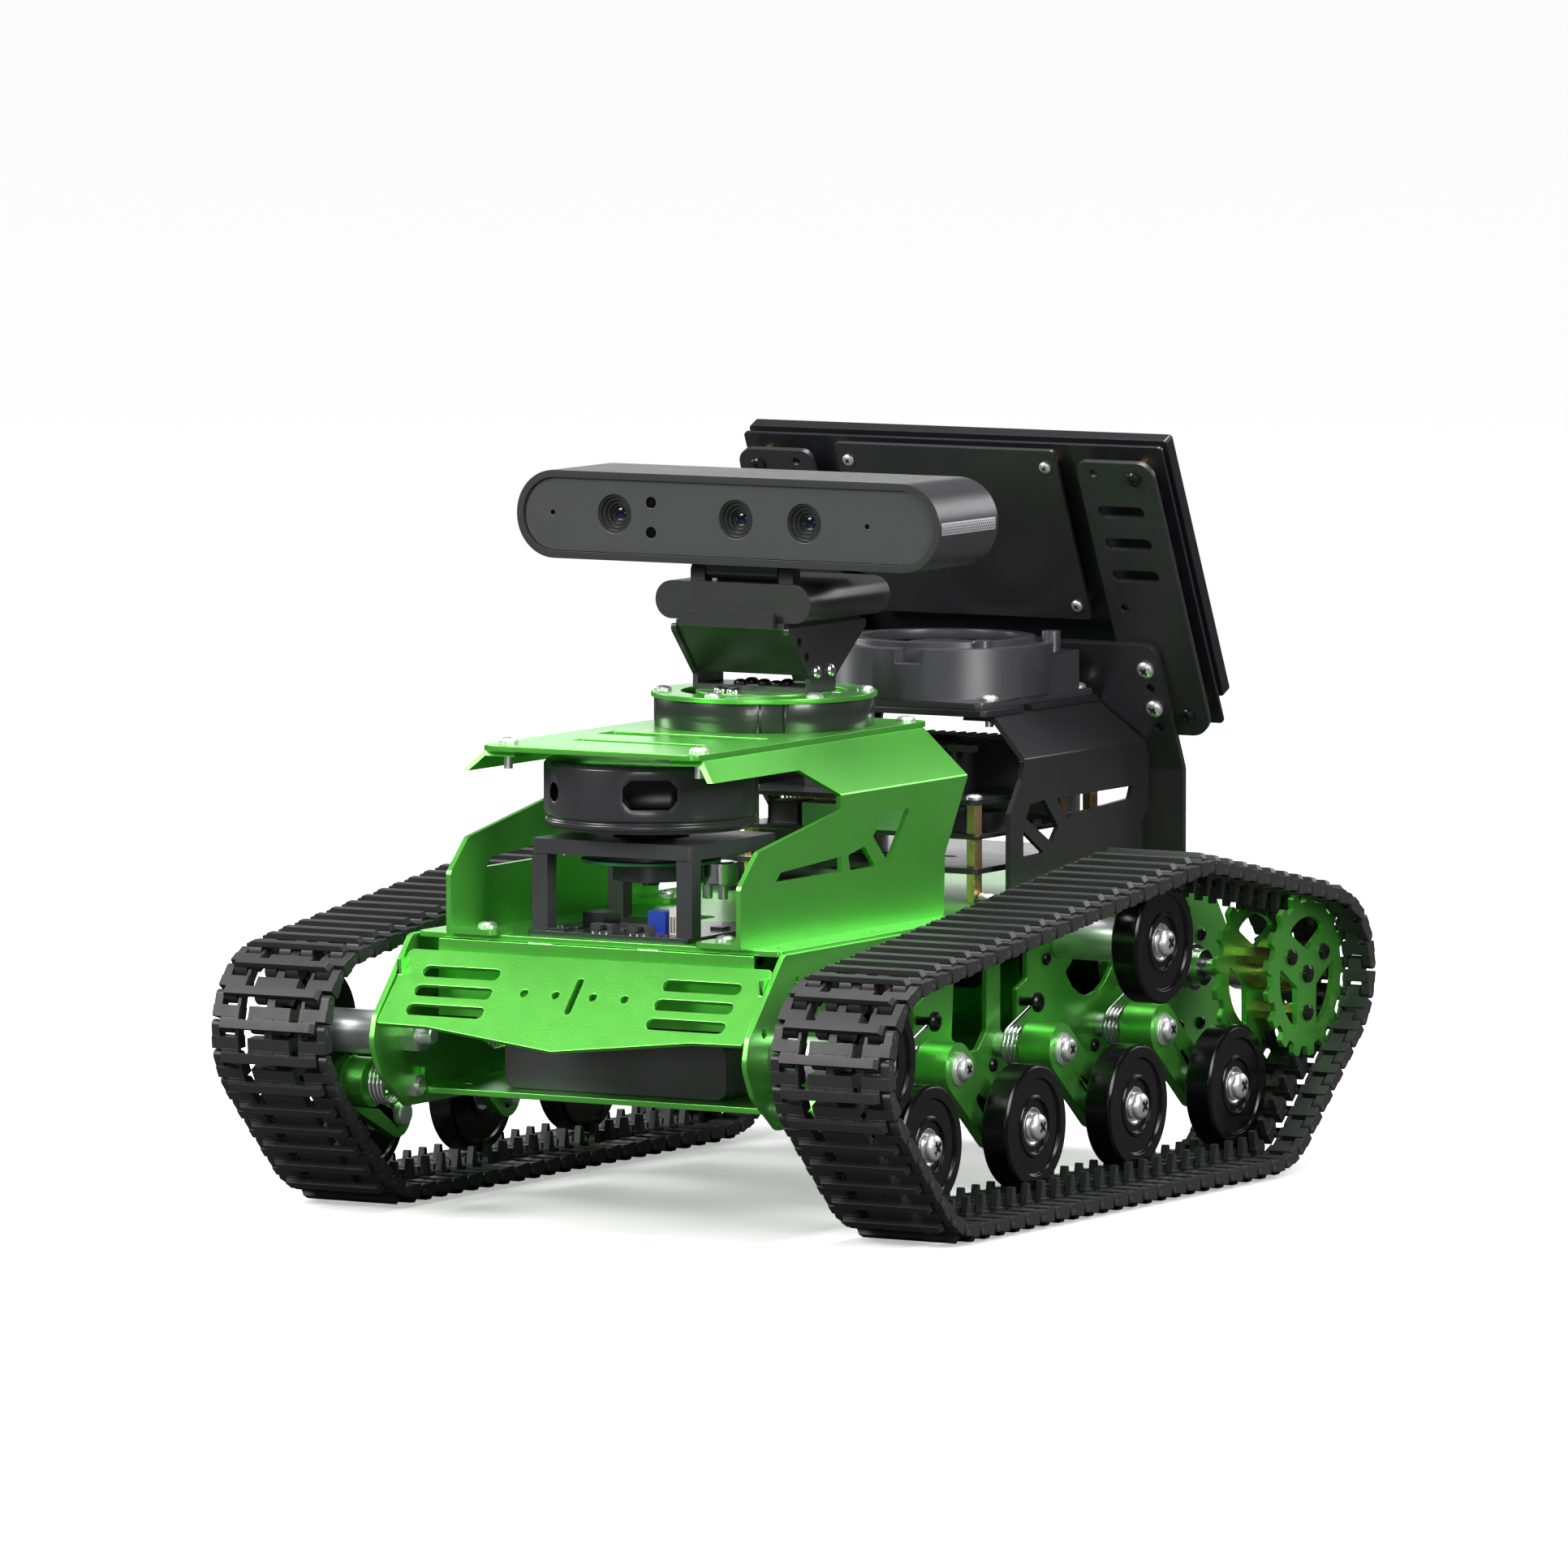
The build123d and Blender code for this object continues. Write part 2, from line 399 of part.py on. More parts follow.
def pins_for(p, n, u0):
    us = [u0]
    for i in range(n):
        a = at(us[-1]); lo, hi = us[-1] + p * 0.98, us[-1] + p * 1.06
        for _ in range(40):
            m = (lo + hi) / 2; b = at(m)
            if math.hypot(b[0] - a[0], b[1] - a[1]) < p: lo = m
            else: hi = m
        us.append((lo + hi) / 2)
    return us

N_LINKS = round(TOTAL / (LINK_PITCH * 1.004))
lo, hi = LINK_PITCH * 0.97, LINK_PITCH * 1.03
for _ in range(40):
    m = (lo + hi) / 2
    us = pins_for(m, N_LINKS, 3.0)
    if us[-1] - us[0] < TOTAL: lo = m
    else: hi = m
PITCH = (lo + hi) / 2
PINS = [at(u) for u in pins_for(PITCH, N_LINKS, 3.0)][:N_LINKS]
print("links per track", N_LINKS, "pitch", round(PITCH, 3), "path", round(TOTAL, 1))

def make_link(p):
    """one link, local: u along the run from pin A (0) to pin B (p), n outwards, extruded across X.
    built in the yz helper plane with a=u, b=n"""
    W = LINK_W / 2
    B1, Bn = 2.75, 2.45
    A_int = [(-18.6, -13.6), (-6.6, -2.0), (2.0, 6.6), (13.6, 18.6)]
    B_int = [(-W, -19.1), (-13.2, -11.8), (-1.6, 1.6), (11.8, 13.2), (19.1, W)]
    end = p - 3.3
    parts = []
    for x0, x1 in ((-W, -11.8), (-8.2, 8.2), (11.8, W)):
        parts.append(prism("yz", [(B1, -Bn), (end, -Bn), (end, Bn), (B1, Bn)], x0, x1))
    for x0, x1 in A_int:
        parts.append(prism("yz", [(B1 + 0.05, -2.2), (B1 + 0.05, 2.62), (-1.3, 2.62), (-2.2, 1.2), (-2.2, -2.2)], x0, x1, rad=[0, 0, 0, 0, 2.15]))
    for x0, x1 in B_int:
        parts.append(prism("yz", [(end - 0.05, 2.0), (end - 0.05, -2.0), (p + 2.2, -2.0), (p + 2.2, 2.0)], x0, x1, rad=[0, 0, 1.99, 1.99]))
    # grouser bar, tapered ends
    parts.append(prism("xz", [(-18.8, 2.55), (18.8, 2.55), (17.7, 4.55), (-17.7, 4.55)], -1.45, 1.85))
    parts.append(box(-18.6, -11.8, 1.2, B1 + 0.05, 1.4, 2.6)); parts.append(box(11.8, 18.6, 1.2, B1 + 0.05, 1.4, 2.6)); parts.append(box(-8.2, 8.2, 1.2, B1 + 0.05, 1.4, 2.6))
    # central rail that the wheels run on
    parts.append(prism("yz", [(3.0, -Bn + 0.05), (end - 0.15, -Bn + 0.05), (end - 0.5, -4.6), (3.4, -4.6)], -4.9, 4.9))
    # guide teeth in two rows
    for sx in (-1, 1):
        t = prism("yz", [(3.0, -Bn + 0.05), (end - 0.1, -Bn + 0.05), (end - 1.15, -8.4), (4.15, -8.4)], 5.5 * sx if sx > 0 else -8.0, 8.0 if sx > 0 else -5.5)
        parts.append(t)
    link = fuse(*parts)
    # pin holes through the outer lugs
    for sx in (-1, 1):
        lo_, hi_ = (11.0, 30.0) if sx > 0 else (-30.0, -11.0)
        link = cut(link, cyl("x", 0, 0, 0.85, lo_, hi_), cyl("x", p, 0, 0.8, lo_, hi_))
    return one(link)

LINK = make_link(PITCH)
print("link solids", len(LINK.solids()), "volume", round(LINK.volume, 1), "faces", len(LINK.faces()))

track, pins = [], []
for i in range(N_LINKS):
    a = PINS[i]; b = PINS[(i + 1) % N_LINKS]
    uy, uz = (b[0] - a[0]) / PITCH, (b[1] - a[1]) / PITCH     # along the run
    ny, nz = -uz, uy                                           # left of travel: outwards for clockwise travel seen from +X
    pl = Plane(origin=(TRACK_X, a[0], a[1]), x_dir=(1, 0, 0), z_dir=(0, ny, nz))
    track.append(LINK.moved(pl.location))
    for sx in (-1, 1):
        c0, c1 = (11.9, 22.2) if sx > 0 else (-22.2, -11.9)
        pins.append(cyl("x", a[0], a[1], 0.8, TRACK_X + c0, TRACK_X + c1))
save("track_right", track)
# the link is symmetric across its width, so the left track is the same run of links set on the other side
save("track_left", [s.moved(Location((-2 * TRACK_X, 0, 0))) for s in track])
save("track_pins", pins + [s.moved(Location((-2 * TRACK_X, 0, 0))) for s in pins])

# ---------------------------------------------------------------- canopy
T = 1.8
w_out = [(-131.0, DECK_Z1), (-131.0, 116.9), (-119.3, 127.9), (-64.6, 137.3), (-64.6, 142.2), (22.2, 142.2), (6.5, 116.9), (5.8, DECK_Z1)]
w_holes = [([(-108.1, 116.8), (-104.5, 120.0), (-63.8, 122.0), (-63.8, 116.9)], 0.3), ([(-59.5, 122.0), (-48.5, 124.1), (-41.1, 116.8), (-58.0, 116.5)], 0.3),
           ([(-42.6, 126.9), (-35.2, 134.7), (-17.4, 134.6), (-32.2, 117.1)], 0.3)]
wall = prism("yz", w_out, WALL_X - T, WALL_X, rad=[1, 3, 3, 0.6, 0.3, 0.3, 3, 1], holes=w_holes)
def folded(y_low, y_top, zb, zt, xt):
    """the fold as one extruded strip along Y, trimmed by a skewed prism"""
    prof = [(WALL_X, zb), (WALL_X - T, zb), (WALL_X - T, zb + 0.45), (xt - 0.55, zt - T), (xt - 12.0, zt - T), (xt - 12.0, zt), (xt, zt), (WALL_X, zb + 1.0)]
    return prism("xz", prof, min(y_low[0], y_top[0]), max(y_low[1], y_top[1]), rad=[0, 0, 0, 0, 0, 0, 1.2, 1.2])
roof_z = 158.5
f = folded((-136.0, 24.0), (-136.0, 24.0), 141.7, roof_z, 42.0)
# keep: ahead of the notch only the strip above z 151, skewed ends
trim = [prism("yz", [(-140, 130), (-63.6, 130), (-63.6, 142.2), (-77.7, 151.6), (-140, 151.6)], 20, 70),
        prism("yz", [(-140, 130), (-140, 160), (-129.5, 160), (-135.0, 151.0), (-135.0, 130)], 20, 70),
        prism("yz", [(22.6, 140), (30, 140), (30, 165), (16.5, 165)], 20, 70)]
f = cut(f, *trim)
foot = prism("xy", [(38.5, -130.9), (WALL_X - 0.3, -130.9), (WALL_X - 0.3, -116.0), (38.5, -116.0)], DECK_Z1, DECK_Z1 + T, rad=[3, 0.2, 0.2, 3], holes=[(46.1, -122.4, 1.55)])
foot2 = prism("xy", [(42.5, -9.0), (WALL_X - 0.3, -9.0), (WALL_X - 0.3, 5.6), (42.5, 5.6)], DECK_Z1, DECK_Z1 + T, rad=[3, 0.2, 0.2, 3], holes=[(48.5, -1.5, 1.55)])
panel = fuse(wall, f, foot, foot2)
panel = cut(panel, *[cyl("z", 36.9, y, 1.55, 150, 162) for y in (-123.9, 19.0 - 4.0)])
save("canopy_side_panels", both(panel))

roof = prism("xy", [(-42, -134.0), (42, -134.0), (42, 22.5), (-42, 22.5)], roof_z, roof_z + 2.0, rad=4.0,
             holes=[(sx * 36.9, y, 1.55) for sx in (-1, 1) for y in (-123.9, 15.0)] +
             [([(-30, -78), (-8, -78), (-8, -72), (-2.5, -72), (-2.5, -78), (2.5, -78), (2.5, -72), (8, -72), (8, -78), (30, -78), (30, -66), (-30, -66)], 0.6), (0, PAN_Y, 22.0),
              ([(-24, -104), (24, -104), (24, -97), (-24, -97)], 1.0)])

# ---------------------------------------------------------------- control board and lidar
cb = prism("xy", [(-31.5, -121.8), (31.5, -121.8), (31.5, -66.0), (-31.5, -66.0)], DECK_Z1 + 0.0, DECK_Z1 + 1.6, rad=2.0)
comp = [box(-6.9, 1.3, -120.6, -117.0, 97.9, 101.2), box(7.6, 15.8, -120.6, -117.0, 97.9, 101.2), cyl("z", -20.5, -117.5, 1.6, 97.9, 99.6), box(-24.0, -17.0, -121.0, -114.0, 97.9, 98.9),
        box(26.9 - 8.5, 26.9 - 3.0, -112.0, -106.0, 97.9, 107.0), box(10.0, 16.5, -111.5, -105.5, 97.9, 105.5), box(-8.0, 6.0, -100.0, -86.0, 97.9, 99.4), box(-20.0, -12.0, -104.0, -92.0, 97.9, 103.0)]
# channels in which the switch levers run
comp[0] = cut(comp[0], box(-4.9, -0.7, -121.0, -118.4, 99.0, 102.0)); comp[1] = cut(comp[1], box(9.6, 13.8, -121.0, -118.4, 99.0, 102.0))
save("control_board", [fuse(cb, *comp)])
lev = box(-4.7, -2.9, -121.6, -118.6, 99.2, 100.9)
save("power_switch_lever", [lev])
save("mode_switch_lever", [lev.moved(Location((14.5, 0, 0)))])

plat = prism("xy", [(-31.0, -119.0), (31.0, -119.0), (31.0, -62.0), (-31.0, -62.0)], 123.6, 128.6, rad=2.0, holes=[(0, LIDAR_Y, 13.0)])
posts = [box(sx * 28.0 - 3.0, sx * 28.0 + 3.0, y - 3.0, y + 3.0, DECK_Z1 + 1.6, 123.7) for sx in (-1, 1) for y in (-115.6, -66.0)]
motorpod = fuse(ring("z", 0, LIDAR_Y, 3.0, 12.9, 114.0, 123.7), ring("z", 0, LIDAR_Y, 12.0, 20.0, 121.6, 123.7))
save("lidar_stand", [fuse(plat, *posts, motorpod)])

head = revolve_z([(0, 132.0), (34.0, 132.0), (34.0, 133.3), (35.6, 133.3), (35.6, 134.8), (34.8, 135.2), (34.8, 136.0), (36.0, 136.6), (36.0, 153.4), (34.8, 154.7), (0, 154.7)], 0, LIDAR_Y)
spin = fuse(cyl("z", 0, LIDAR_Y, 8.0, 129.0, 132.1), cyl("z", 0, LIDAR_Y, 2.9, 112.0, 129.1))
# windows: octagonal one facing (30 deg to the right of front) and a round one 64 deg to its left
def radial(pts_or_r, ang, zc, depth):
    n = (math.sin(math.radians(ang)), -math.cos(math.radians(ang)))
    pl = Plane(origin=(n[0] * (36.5 - depth), LIDAR_Y + n[1] * (36.5 - depth), zc), x_dir=(math.cos(math.radians(ang)), math.sin(math.radians(ang)), 0), z_dir=(n[0], n[1], 0))
    if isinstance(pts_or_r, (int, float)):
        s = Solid.make_cylinder(pts_or_r, depth + 2.0)
    else:
        s = prism("xy", pts_or_r, 0, depth + 4.0)
    return s.moved(pl.location)
octw = [(-9.1, -2.2), (-9.1, 2.2), (-6.4, 4.8), (6.4, 4.8), (9.1, 2.2), (9.1, -2.2), (6.4, -4.8), (-6.4, -4.8)]
head = cut(fuse(head, spin), radial(octw, 30.0, 145.4, 6.0), radial(3.2, -34.0, 144.8, 5.0))
save("lidar_head", [head])

# ---------------------------------------------------------------- camera turntable
z0 = roof_z + 2.0
drum = revolve_z([(26.5, z0), (37.4, z0), (37.4, 170.3), (26.5, 170.3)], 0, PAN_Y)
grooves = [box(-0.5, 0.5, -39.0, -36.6, z0 - 1, 171).moved(Location((0, 0, 0), (0, 0, a))).moved(Location((0, PAN_Y, 0))) for a in (28, 40, 118, 130, 208, 220, 298, 310)]
drum = cut(drum, *grooves)
save("turntable_housing", [drum])
ringp = prism("xy", (0, PAN_Y, 38.4), 170.3, 172.0, holes=[(0, PAN_Y, 28.3)] + [(34.3 * math.cos(math.radians(a)), PAN_Y + 34.3 * math.sin(math.radians(a)), 1.5) for a in (30, 90, 150, 210, 270, 330)])
save("canopy_top_plates", [roof, ringp])
pan_disc = fuse(cyl("z", 0, PAN_Y, 23.2, 170.6, 172.2), revolve_z([(0, 161.5), (26.42, 161.5), (26.42, 164.0), (12.0, 165.0), (12.0, 170.7), (0, 170.7)], 0, PAN_Y))
axl = fuse(cyl("z", 0, PAN_Y, 21.0, z0 + 0.4, 161.6), cyl("z", 0, PAN_Y, 20.8, 155.0, z0 + 0.5))
save("camera_turntable", [fuse(pan_disc, axl)])

# U bracket with wing cheeks
CX = 21.0
cheek = prism("yz", [(-25.9, 172.2), (-25.9, 177.2), (-40.5, 193.2), (-40.5, 195.4), (12.0, 195.4), (12.0, 193.0), (-8.7, 177.2), (-8.7, 172.2)], CX, CX + 2.0,
              rad=[0.2, 0.6, 1.5, 0.8, 0.8, 0.8, 0.6, 0.2], holes=[(-33.2, 190.3, 1.5), (-28.2, 184.9, 1.5)])
floor = box(-CX - 0.5, CX + 0.5, -25.9, -8.7, 172.2, 174.2)
cradle = fuse(box(-CX - 0.05, CX + 0.05, -40.4, 11.5, 195.2 - 0.0, 196.9), box(-17.8, 17.8, -42.0, -40.3, 195.2, 200.2),
              prism("yz", [(-40.4, 195.3), (-38.8, 195.3), (-25.0, 178.4), (-26.4, 178.4), (-40.2, 194.8)], -CX - 0.05, CX + 0.05))
screws_b = [pan_screw(sx * (CX + 2.0), y, 179.4, (sx, 0, 0), 2.3, 1.3, 1.2, 4.0) for sx in (-1, 1) for y in (-22.0, -12.4)]
brk = cut(fuse(floor, *both(cheek), cradle), *[cyl("x", y, 179.4, 1.2, -40, 40) for y in (-22.0, -12.4)])
save("camera_bracket", [brk] + screws_b)

# camera base: stadium bar with two hinge knuckles
def stadium(w, h, zc):
    r = h / 2 - 0.02
    return ([(-w / 2, zc - h / 2), (w / 2, zc - h / 2), (w / 2, zc + h / 2), (-w / 2, zc + h / 2)], r)
p, r = stadium(60.4, 13.0, 203.4)
base = prism("xz", p, -38.6, 16.0, rad=r)
kn = [fuse(cyl("x", TILT_Y, TILT_Z, 2.5, x, x + 5.6), box(x, x + 5.6, TILT_Y - 2.5, TILT_Y + 2.5, 206.5, TILT_Z)) for x in (-20.0, 14.4)]
base = fuse(base, *kn, cyl("x", TILT_Y, TILT_Z, 1.2, -20.0, 20.0))
save("camera_base", [base])

# camera bar: housing with recessed face, front panel, hinge tongue
p, r = stadium(BAR[0], BAR[2], 231.0)
bar = prism("xz", p, -42.6, -2.6, rad=r)
p2, r2 = stadium(BAR[0] - 5.0, BAR[2] - 5.0, 231.0)
bar = cut(bar, prism("xz", p2, -43.0, -40.0, rad=r2))
LENS = [(-44.6, 231.8, 6.6), (2.9, 231.6, 6.6), (29.5, 231.2, 6.6)]
DOTS = [(-30.2, 236.1, 1.9), (-30.2, 225.9, 1.9)]
MICS = [(-68.8, 231.5, 0.8), (54.0, 231.0, 0.8)]
tongue = fuse(cyl("x", TILT_Y, TILT_Z, 2.5, -13.9, 13.9), box(-13.9, 13.9, TILT_Y - 2.5, TILT_Y + 2.5, TILT_Z, 216.6))
tongue = cut(tongue, cyl("x", TILT_Y, TILT_Z, 1.3, -20, 20))
save("camera_bar", [cut(fuse(bar, tongue), *[cyl("y", a, b, c + 0.0, -43, -33.0) for a, b, c in LENS])])
p3, r3 = stadium(BAR[0] - 5.2, BAR[2] - 5.2, 231.0)
face = prism("xz", p3, -41.6, -40.0, rad=r3, holes=LENS + DOTS + MICS)
save("camera_front_panel", [face])
lens = []
for a, b, c in LENS:
    prof = [(c, -33.0), (c, -40.9), (c - 0.8, -40.9), (c - 0.8, -39.9), (c - 2.0, -39.9), (c - 2.0, -38.9), (c - 3.2, -38.9), (c - 3.2, -37.9), (c - 4.2, -37.9), (c - 4.2, -37.2), (0, -36.6), (0, -33.0)]
    w = Wire.make_polygon([Vector(rr, yy, 0) for rr, yy in prof], close=True)
    lens.append(Solid.revolve(Face(w), 360, Axis((0, 0, 0), (0, 1, 0))).moved(Location((a, 0, b))))
for a, b, c in DOTS:
    lens.append(cyl("y", a, b, c, -41.0, -40.0))
save("camera_lenses", lens)

# ---------------------------------------------------------------- rear panels
DP = Plane(origin=DISPLAY_TOP, x_dir=(1, 0, 0), z_dir=(0, -math.cos(math.radians(DISPLAY_TILT)), -math.sin(math.radians(DISPLAY_TILT))))
def on_display(s):
    return s.moved(DP.location)
# space kept free for the leaning display support
behind = on_display(prism("xy", [(-90, -72.6), (90, -72.6), (90, -130), (-90, -130)], -5.0, 20.3))
rw = [(51.8, DECK_Z1), (51.8, 126.7), (60.2, 138.1), (62.0, 144.4), (150.6, 144.4), (150.6, 121.9), (146.1, 116.5), (146.1, DECK_Z1)]
rh = [([(62.9, 124.5), (66.1, 129.0), (76.0, 129.9), (85.9, 119.7), (81.3, 114.7)], 0.3), ([(61.2, 120.2), (76.0, 111.6), (61.2, 111.2)], 0.3),
      ([(84.6, 129.8), (139.2, 129.7), (137.2, 125.6), (95.8, 123.4), (92.1, 121.6)], 0.3)]
rwall = prism("yz", rw, WALL_X - T, WALL_X, rad=[1, 1.5, 1.5, 0.3, 0.3, 1.0, 1.0, 1], holes=rh)
def folded_r(zb, zt, xt, y0, y1):
    prof = [(WALL_X, zb), (WALL_X - T, zb), (WALL_X - T, zb + 0.45), (xt - 0.55, zt - T), (xt - 12.0, zt - T), (xt - 12.0, zt), (xt, zt), (WALL_X, zb + 1.0)]
    return prism("xz", prof, y0, y1, rad=[0, 0, 0, 0, 0, 0, 1.2, 1.2])
rf = cut(folded_r(143.9, roof_z, 42.0, 60.0, 150.6), prism("yz", [(50, 140), (61.9, 144.2), (68.0, 160), (50, 160)], 20, 70), prism("yz", [(151, 144.6), (151, 160), (143.0, 160)], 20, 70))
rfoot = prism("xy", [(47.6, 41.0), (WALL_X - 0.3, 41.0), (WALL_X - 0.3, 56.0), (47.6, 56.0)], DECK_Z1, DECK_Z1 + T, rad=[3, 3, 0.2, 1], holes=[(51.1, 46.8, 1.55)])
rfoot2 = prism("xy", [(47.6, 130.0), (WALL_X - 0.3, 130.0), (WALL_X - 0.3, 145.9), (47.6, 145.9)], DECK_Z1, DECK_Z1 + T, rad=[3, 0.2, 0.2, 3], holes=[(50.5, 138.0, 1.55)])
rp = cut(fuse(rwall, rf, rfoot, rfoot2), behind, *[cyl("z", 37.0, y, 1.55, 150, 162) for y in (73.0, 135.0)])
save("rear_side_panels", both(rp))

# ---------------------------------------------------------------- blower on its carrier plate
bz = roof_z + 0.0
carrier = prism("xy", [(-42.5, 60.5), (42.5, 60.5), (42.5, 148.5), (-42.5, 148.5)], bz, bz + 2.2, rad=3.0, holes=[(0, BLOWER_Y, 24.0)] + [(sx * 37.0, y, 1.55) for sx in (-1, 1) for y in (73.0, 135.0)])
carrier = cut(carrier, *[box(sx * 42.5 - 5.2, sx * 42.5 + 5.2, y0, y1, bz - 1, bz + 3) for sx in (-1, 1) for y0, y1 in ((88.0, 94.0),)])
carrier = cut(carrier, behind)
save("rear_top_plate", [carrier])
b0 = bz + 2.2
fl = prism("xy", [(-40.5, 62.0), (40.5, 62.0), (40.5, 147.0), (-40.5, 147.0)], b0, b0 + 2.6, rad=4.0, holes=[(sx * 37.0, y, 1.55) for sx in (-1, 1) for y in (73.0, 135.0)])
vol = cyl("z", BLOWER_X, BLOWER_Y, 38.6, b0 + 2.5, 180.6)
blk = prism("xy", [(20.0, 79.5), (31.0, 88.5), (31.0, 93.0), (39.6, 93.0), (39.6, 132.5), (24.0, 138.0), (0.0, 138.0), (0.0, 79.5)], b0 + 2.5, 177.0, rad=1.0)
blk2 = prism("xy", [(-39.6, 82.0), (-20.0, 74.0), (0.0, 74.0), (0.0, 138.0), (-39.6, 132.0)], b0 + 2.5, 177.0, rad=1.0)
rim = ring("z", BLOWER_X, BLOWER_Y, 27.5, 32.5, 180.5, 182.6)
bp_ = [cyl("z", 29.5, 81.1, 3.3, 176.9, 183.2), cyl("z", 36.5, 117.6, 3.3, 176.9, 184.4), cyl("z", -29.0, 84.1, 3.3, 176.9, 183.2)]
cav = fuse(cyl("z", BLOWER_X, BLOWER_Y, 30.0, b0 + 4.5, 179.1), cyl("z", BLOWER_X, BLOWER_Y, 27.5, 178.5, 190))
notch = box(6.0, 15.0, 53.0, 67.6, 175.6, 181.5)
outlet = box(-50.0, -20.0, 97.0, 123.0, b0 + 4.6, 175.0)
screw_clear = [cyl("z", sx * 37.0, y, 3.6, b0 + 2.6, 185) for sx in (-1, 1) for y in (73.0, 135.0)]
house = cut(fuse(fl, vol, blk, blk2, rim, *bp_), cav, notch, outlet, cyl("z", BLOWER_X, BLOWER_Y, 1.58, b0 + 1.0, b0 + 5.0), behind, *screw_clear)
save("blower_housing", [house])
rot = [cyl("z", BLOWER_X, BLOWER_Y, 12.0, b0 + 5.2, 180.4), cyl("z", BLOWER_X, BLOWER_Y, 1.5, b0 + 1.2, b0 + 5.3), ring("z", BLOWER_X, BLOWER_Y, 11.0, 25.8, b0 + 5.2, b0 + 6.6), ring("z", BLOWER_X, BLOWER_Y, 24.2, 26.6, b0 + 5.2, b0 + 8.2)]
for k in range(16):
    bl = box(11.0, 25.4, -0.55, 0.55, b0 + 6.0, 178.6).moved(Location((0, 0, 0), (0, 0, 22.5 * k))).moved(Location((BLOWER_X, BLOWER_Y, 0)))
    rot.append(bl)
save("blower_rotor", [fuse(*rot)])

# ---------------------------------------------------------------- computer stack
pl1 = prism("xy", [(-48, 44.5), (48, 44.5), (48, 138.0), (-48, 138.0)], 106.2, 108.2, rad=3.0, holes=[(sx * 44.0, y, 1.5) for sx in (-1, 1) for y in (50.0, 132.0)] + [slot(0, 70.0, 20, 2.0), slot(0, 80.0, 20, 2.0)])
pcb = prism("xy", [(-48, 45.5), (48, 45.5), (48, 136.5), (-48, 136.5)], 118.0, 119.6, rad=2.5, holes=[(sx * 44.0, y, 1.5) for sx in (-1, 1) for y in (50.0, 132.0)])
pcbparts = [box(-40, 38, 122, 136.0, 119.5, 128.8), box(-40, -28, 54, 66, 119.5, 127.0), box(-22, 36, 46.5, 58.5, 119.5, 127.8), box(30, 44, 60, 76, 119.5, 126.0)]
pl2 = prism("xy", [(-48, 44.5), (48, 44.5), (48, 136.5), (-48, 136.5)], 129.8, 131.6, rad=4.0, holes=[(sx * 44.0, y, 1.5) for sx in (-1, 1) for y in (50.0, 132.0)])
save("computer_stack", [pl1, fuse(pcb, *pcbparts), pl2])
hs = [box(-30, 30, 62, 122, 131.6, 135.0)]
for k in range(15):
    hs.append(box(-30 + 4.14 * k, -30 + 4.14 * k + 1.6, 62, 122, 134.9, 147.5))
hs.append(box(26.5, 36.5, 62, 66, 146.2, 148.4))
hs = cut(fuse(*hs), cyl("z", 0, 92, 13.0, 138.0, 150))
save("heat_sink", [hs])
so = []
for sx in (-1, 1):
    for y in (50.0, 132.0):
        for z_0, z_1 in ((DECK_Z1, 106.2), (108.2, 118.0), (119.6, 129.8)):
            hexp = [(sx * 44.0 + 3.0 * math.cos(math.radians(60 * k)), y + 3.0 * math.sin(math.radians(60 * k))) for k in range(6)]
            so.append(prism("xy", hexp, z_0, z_1))
# display standoffs, between driver board and cover plate
for sx in (-1, 1):
    for s in (6.5, 61.0):
        hexp = [(sx * 39.0 + 2.6 * math.cos(math.radians(60 * k)), -s + 2.6 * math.sin(math.radians(60 * k))) for k in range(6)]
        so.append(on_display(prism("xy", hexp, 9.5, 13.4)))
    for s in (8.5, 101.8):
        hexp = [(sx * 74.5 + 2.6 * math.cos(math.radians(60 * k)), -s + 2.6 * math.sin(math.radians(60 * k))) for k in range(6)]
        so.append(on_display(prism("xy", hexp, 9.5, 15.1)))
save("brass_standoffs", so)

# ---------------------------------------------------------------- display and its support
W2, H2, TD = DISPLAY[0] / 2, DISPLAY[1], DISPLAY[2]
panel = on_display(prism("xy", [(-W2, -H2), (W2, -H2), (W2, 0), (-W2, 0)], 0, TD, rad=1.2))
gasket = on_display(prism("xy", [(-W2 + 4, -H2 + 4), (W2 - 4, -H2 + 4), (W2 - 4, -4), (-W2 + 4, -4)], TD, 8.0, rad=1.2))
board = on_display(prism("xy", [(-W2, -H2 - 8.4), (W2, -H2 - 8.4), (W2, -0.3), (-W2, -0.3)], 8.0, 9.5, rad=1.5))
chips = on_display(fuse(prism("xy", [(-35, -52), (30, -52), (30, -30), (-35, -30)], 9.5, 11.0), prism("xy", [(-34, -66), (-14, -66), (-14, -58), (-34, -58)], 9.5, 12.4)))
save("display_module", [panel, gasket, fuse(board, chips)])

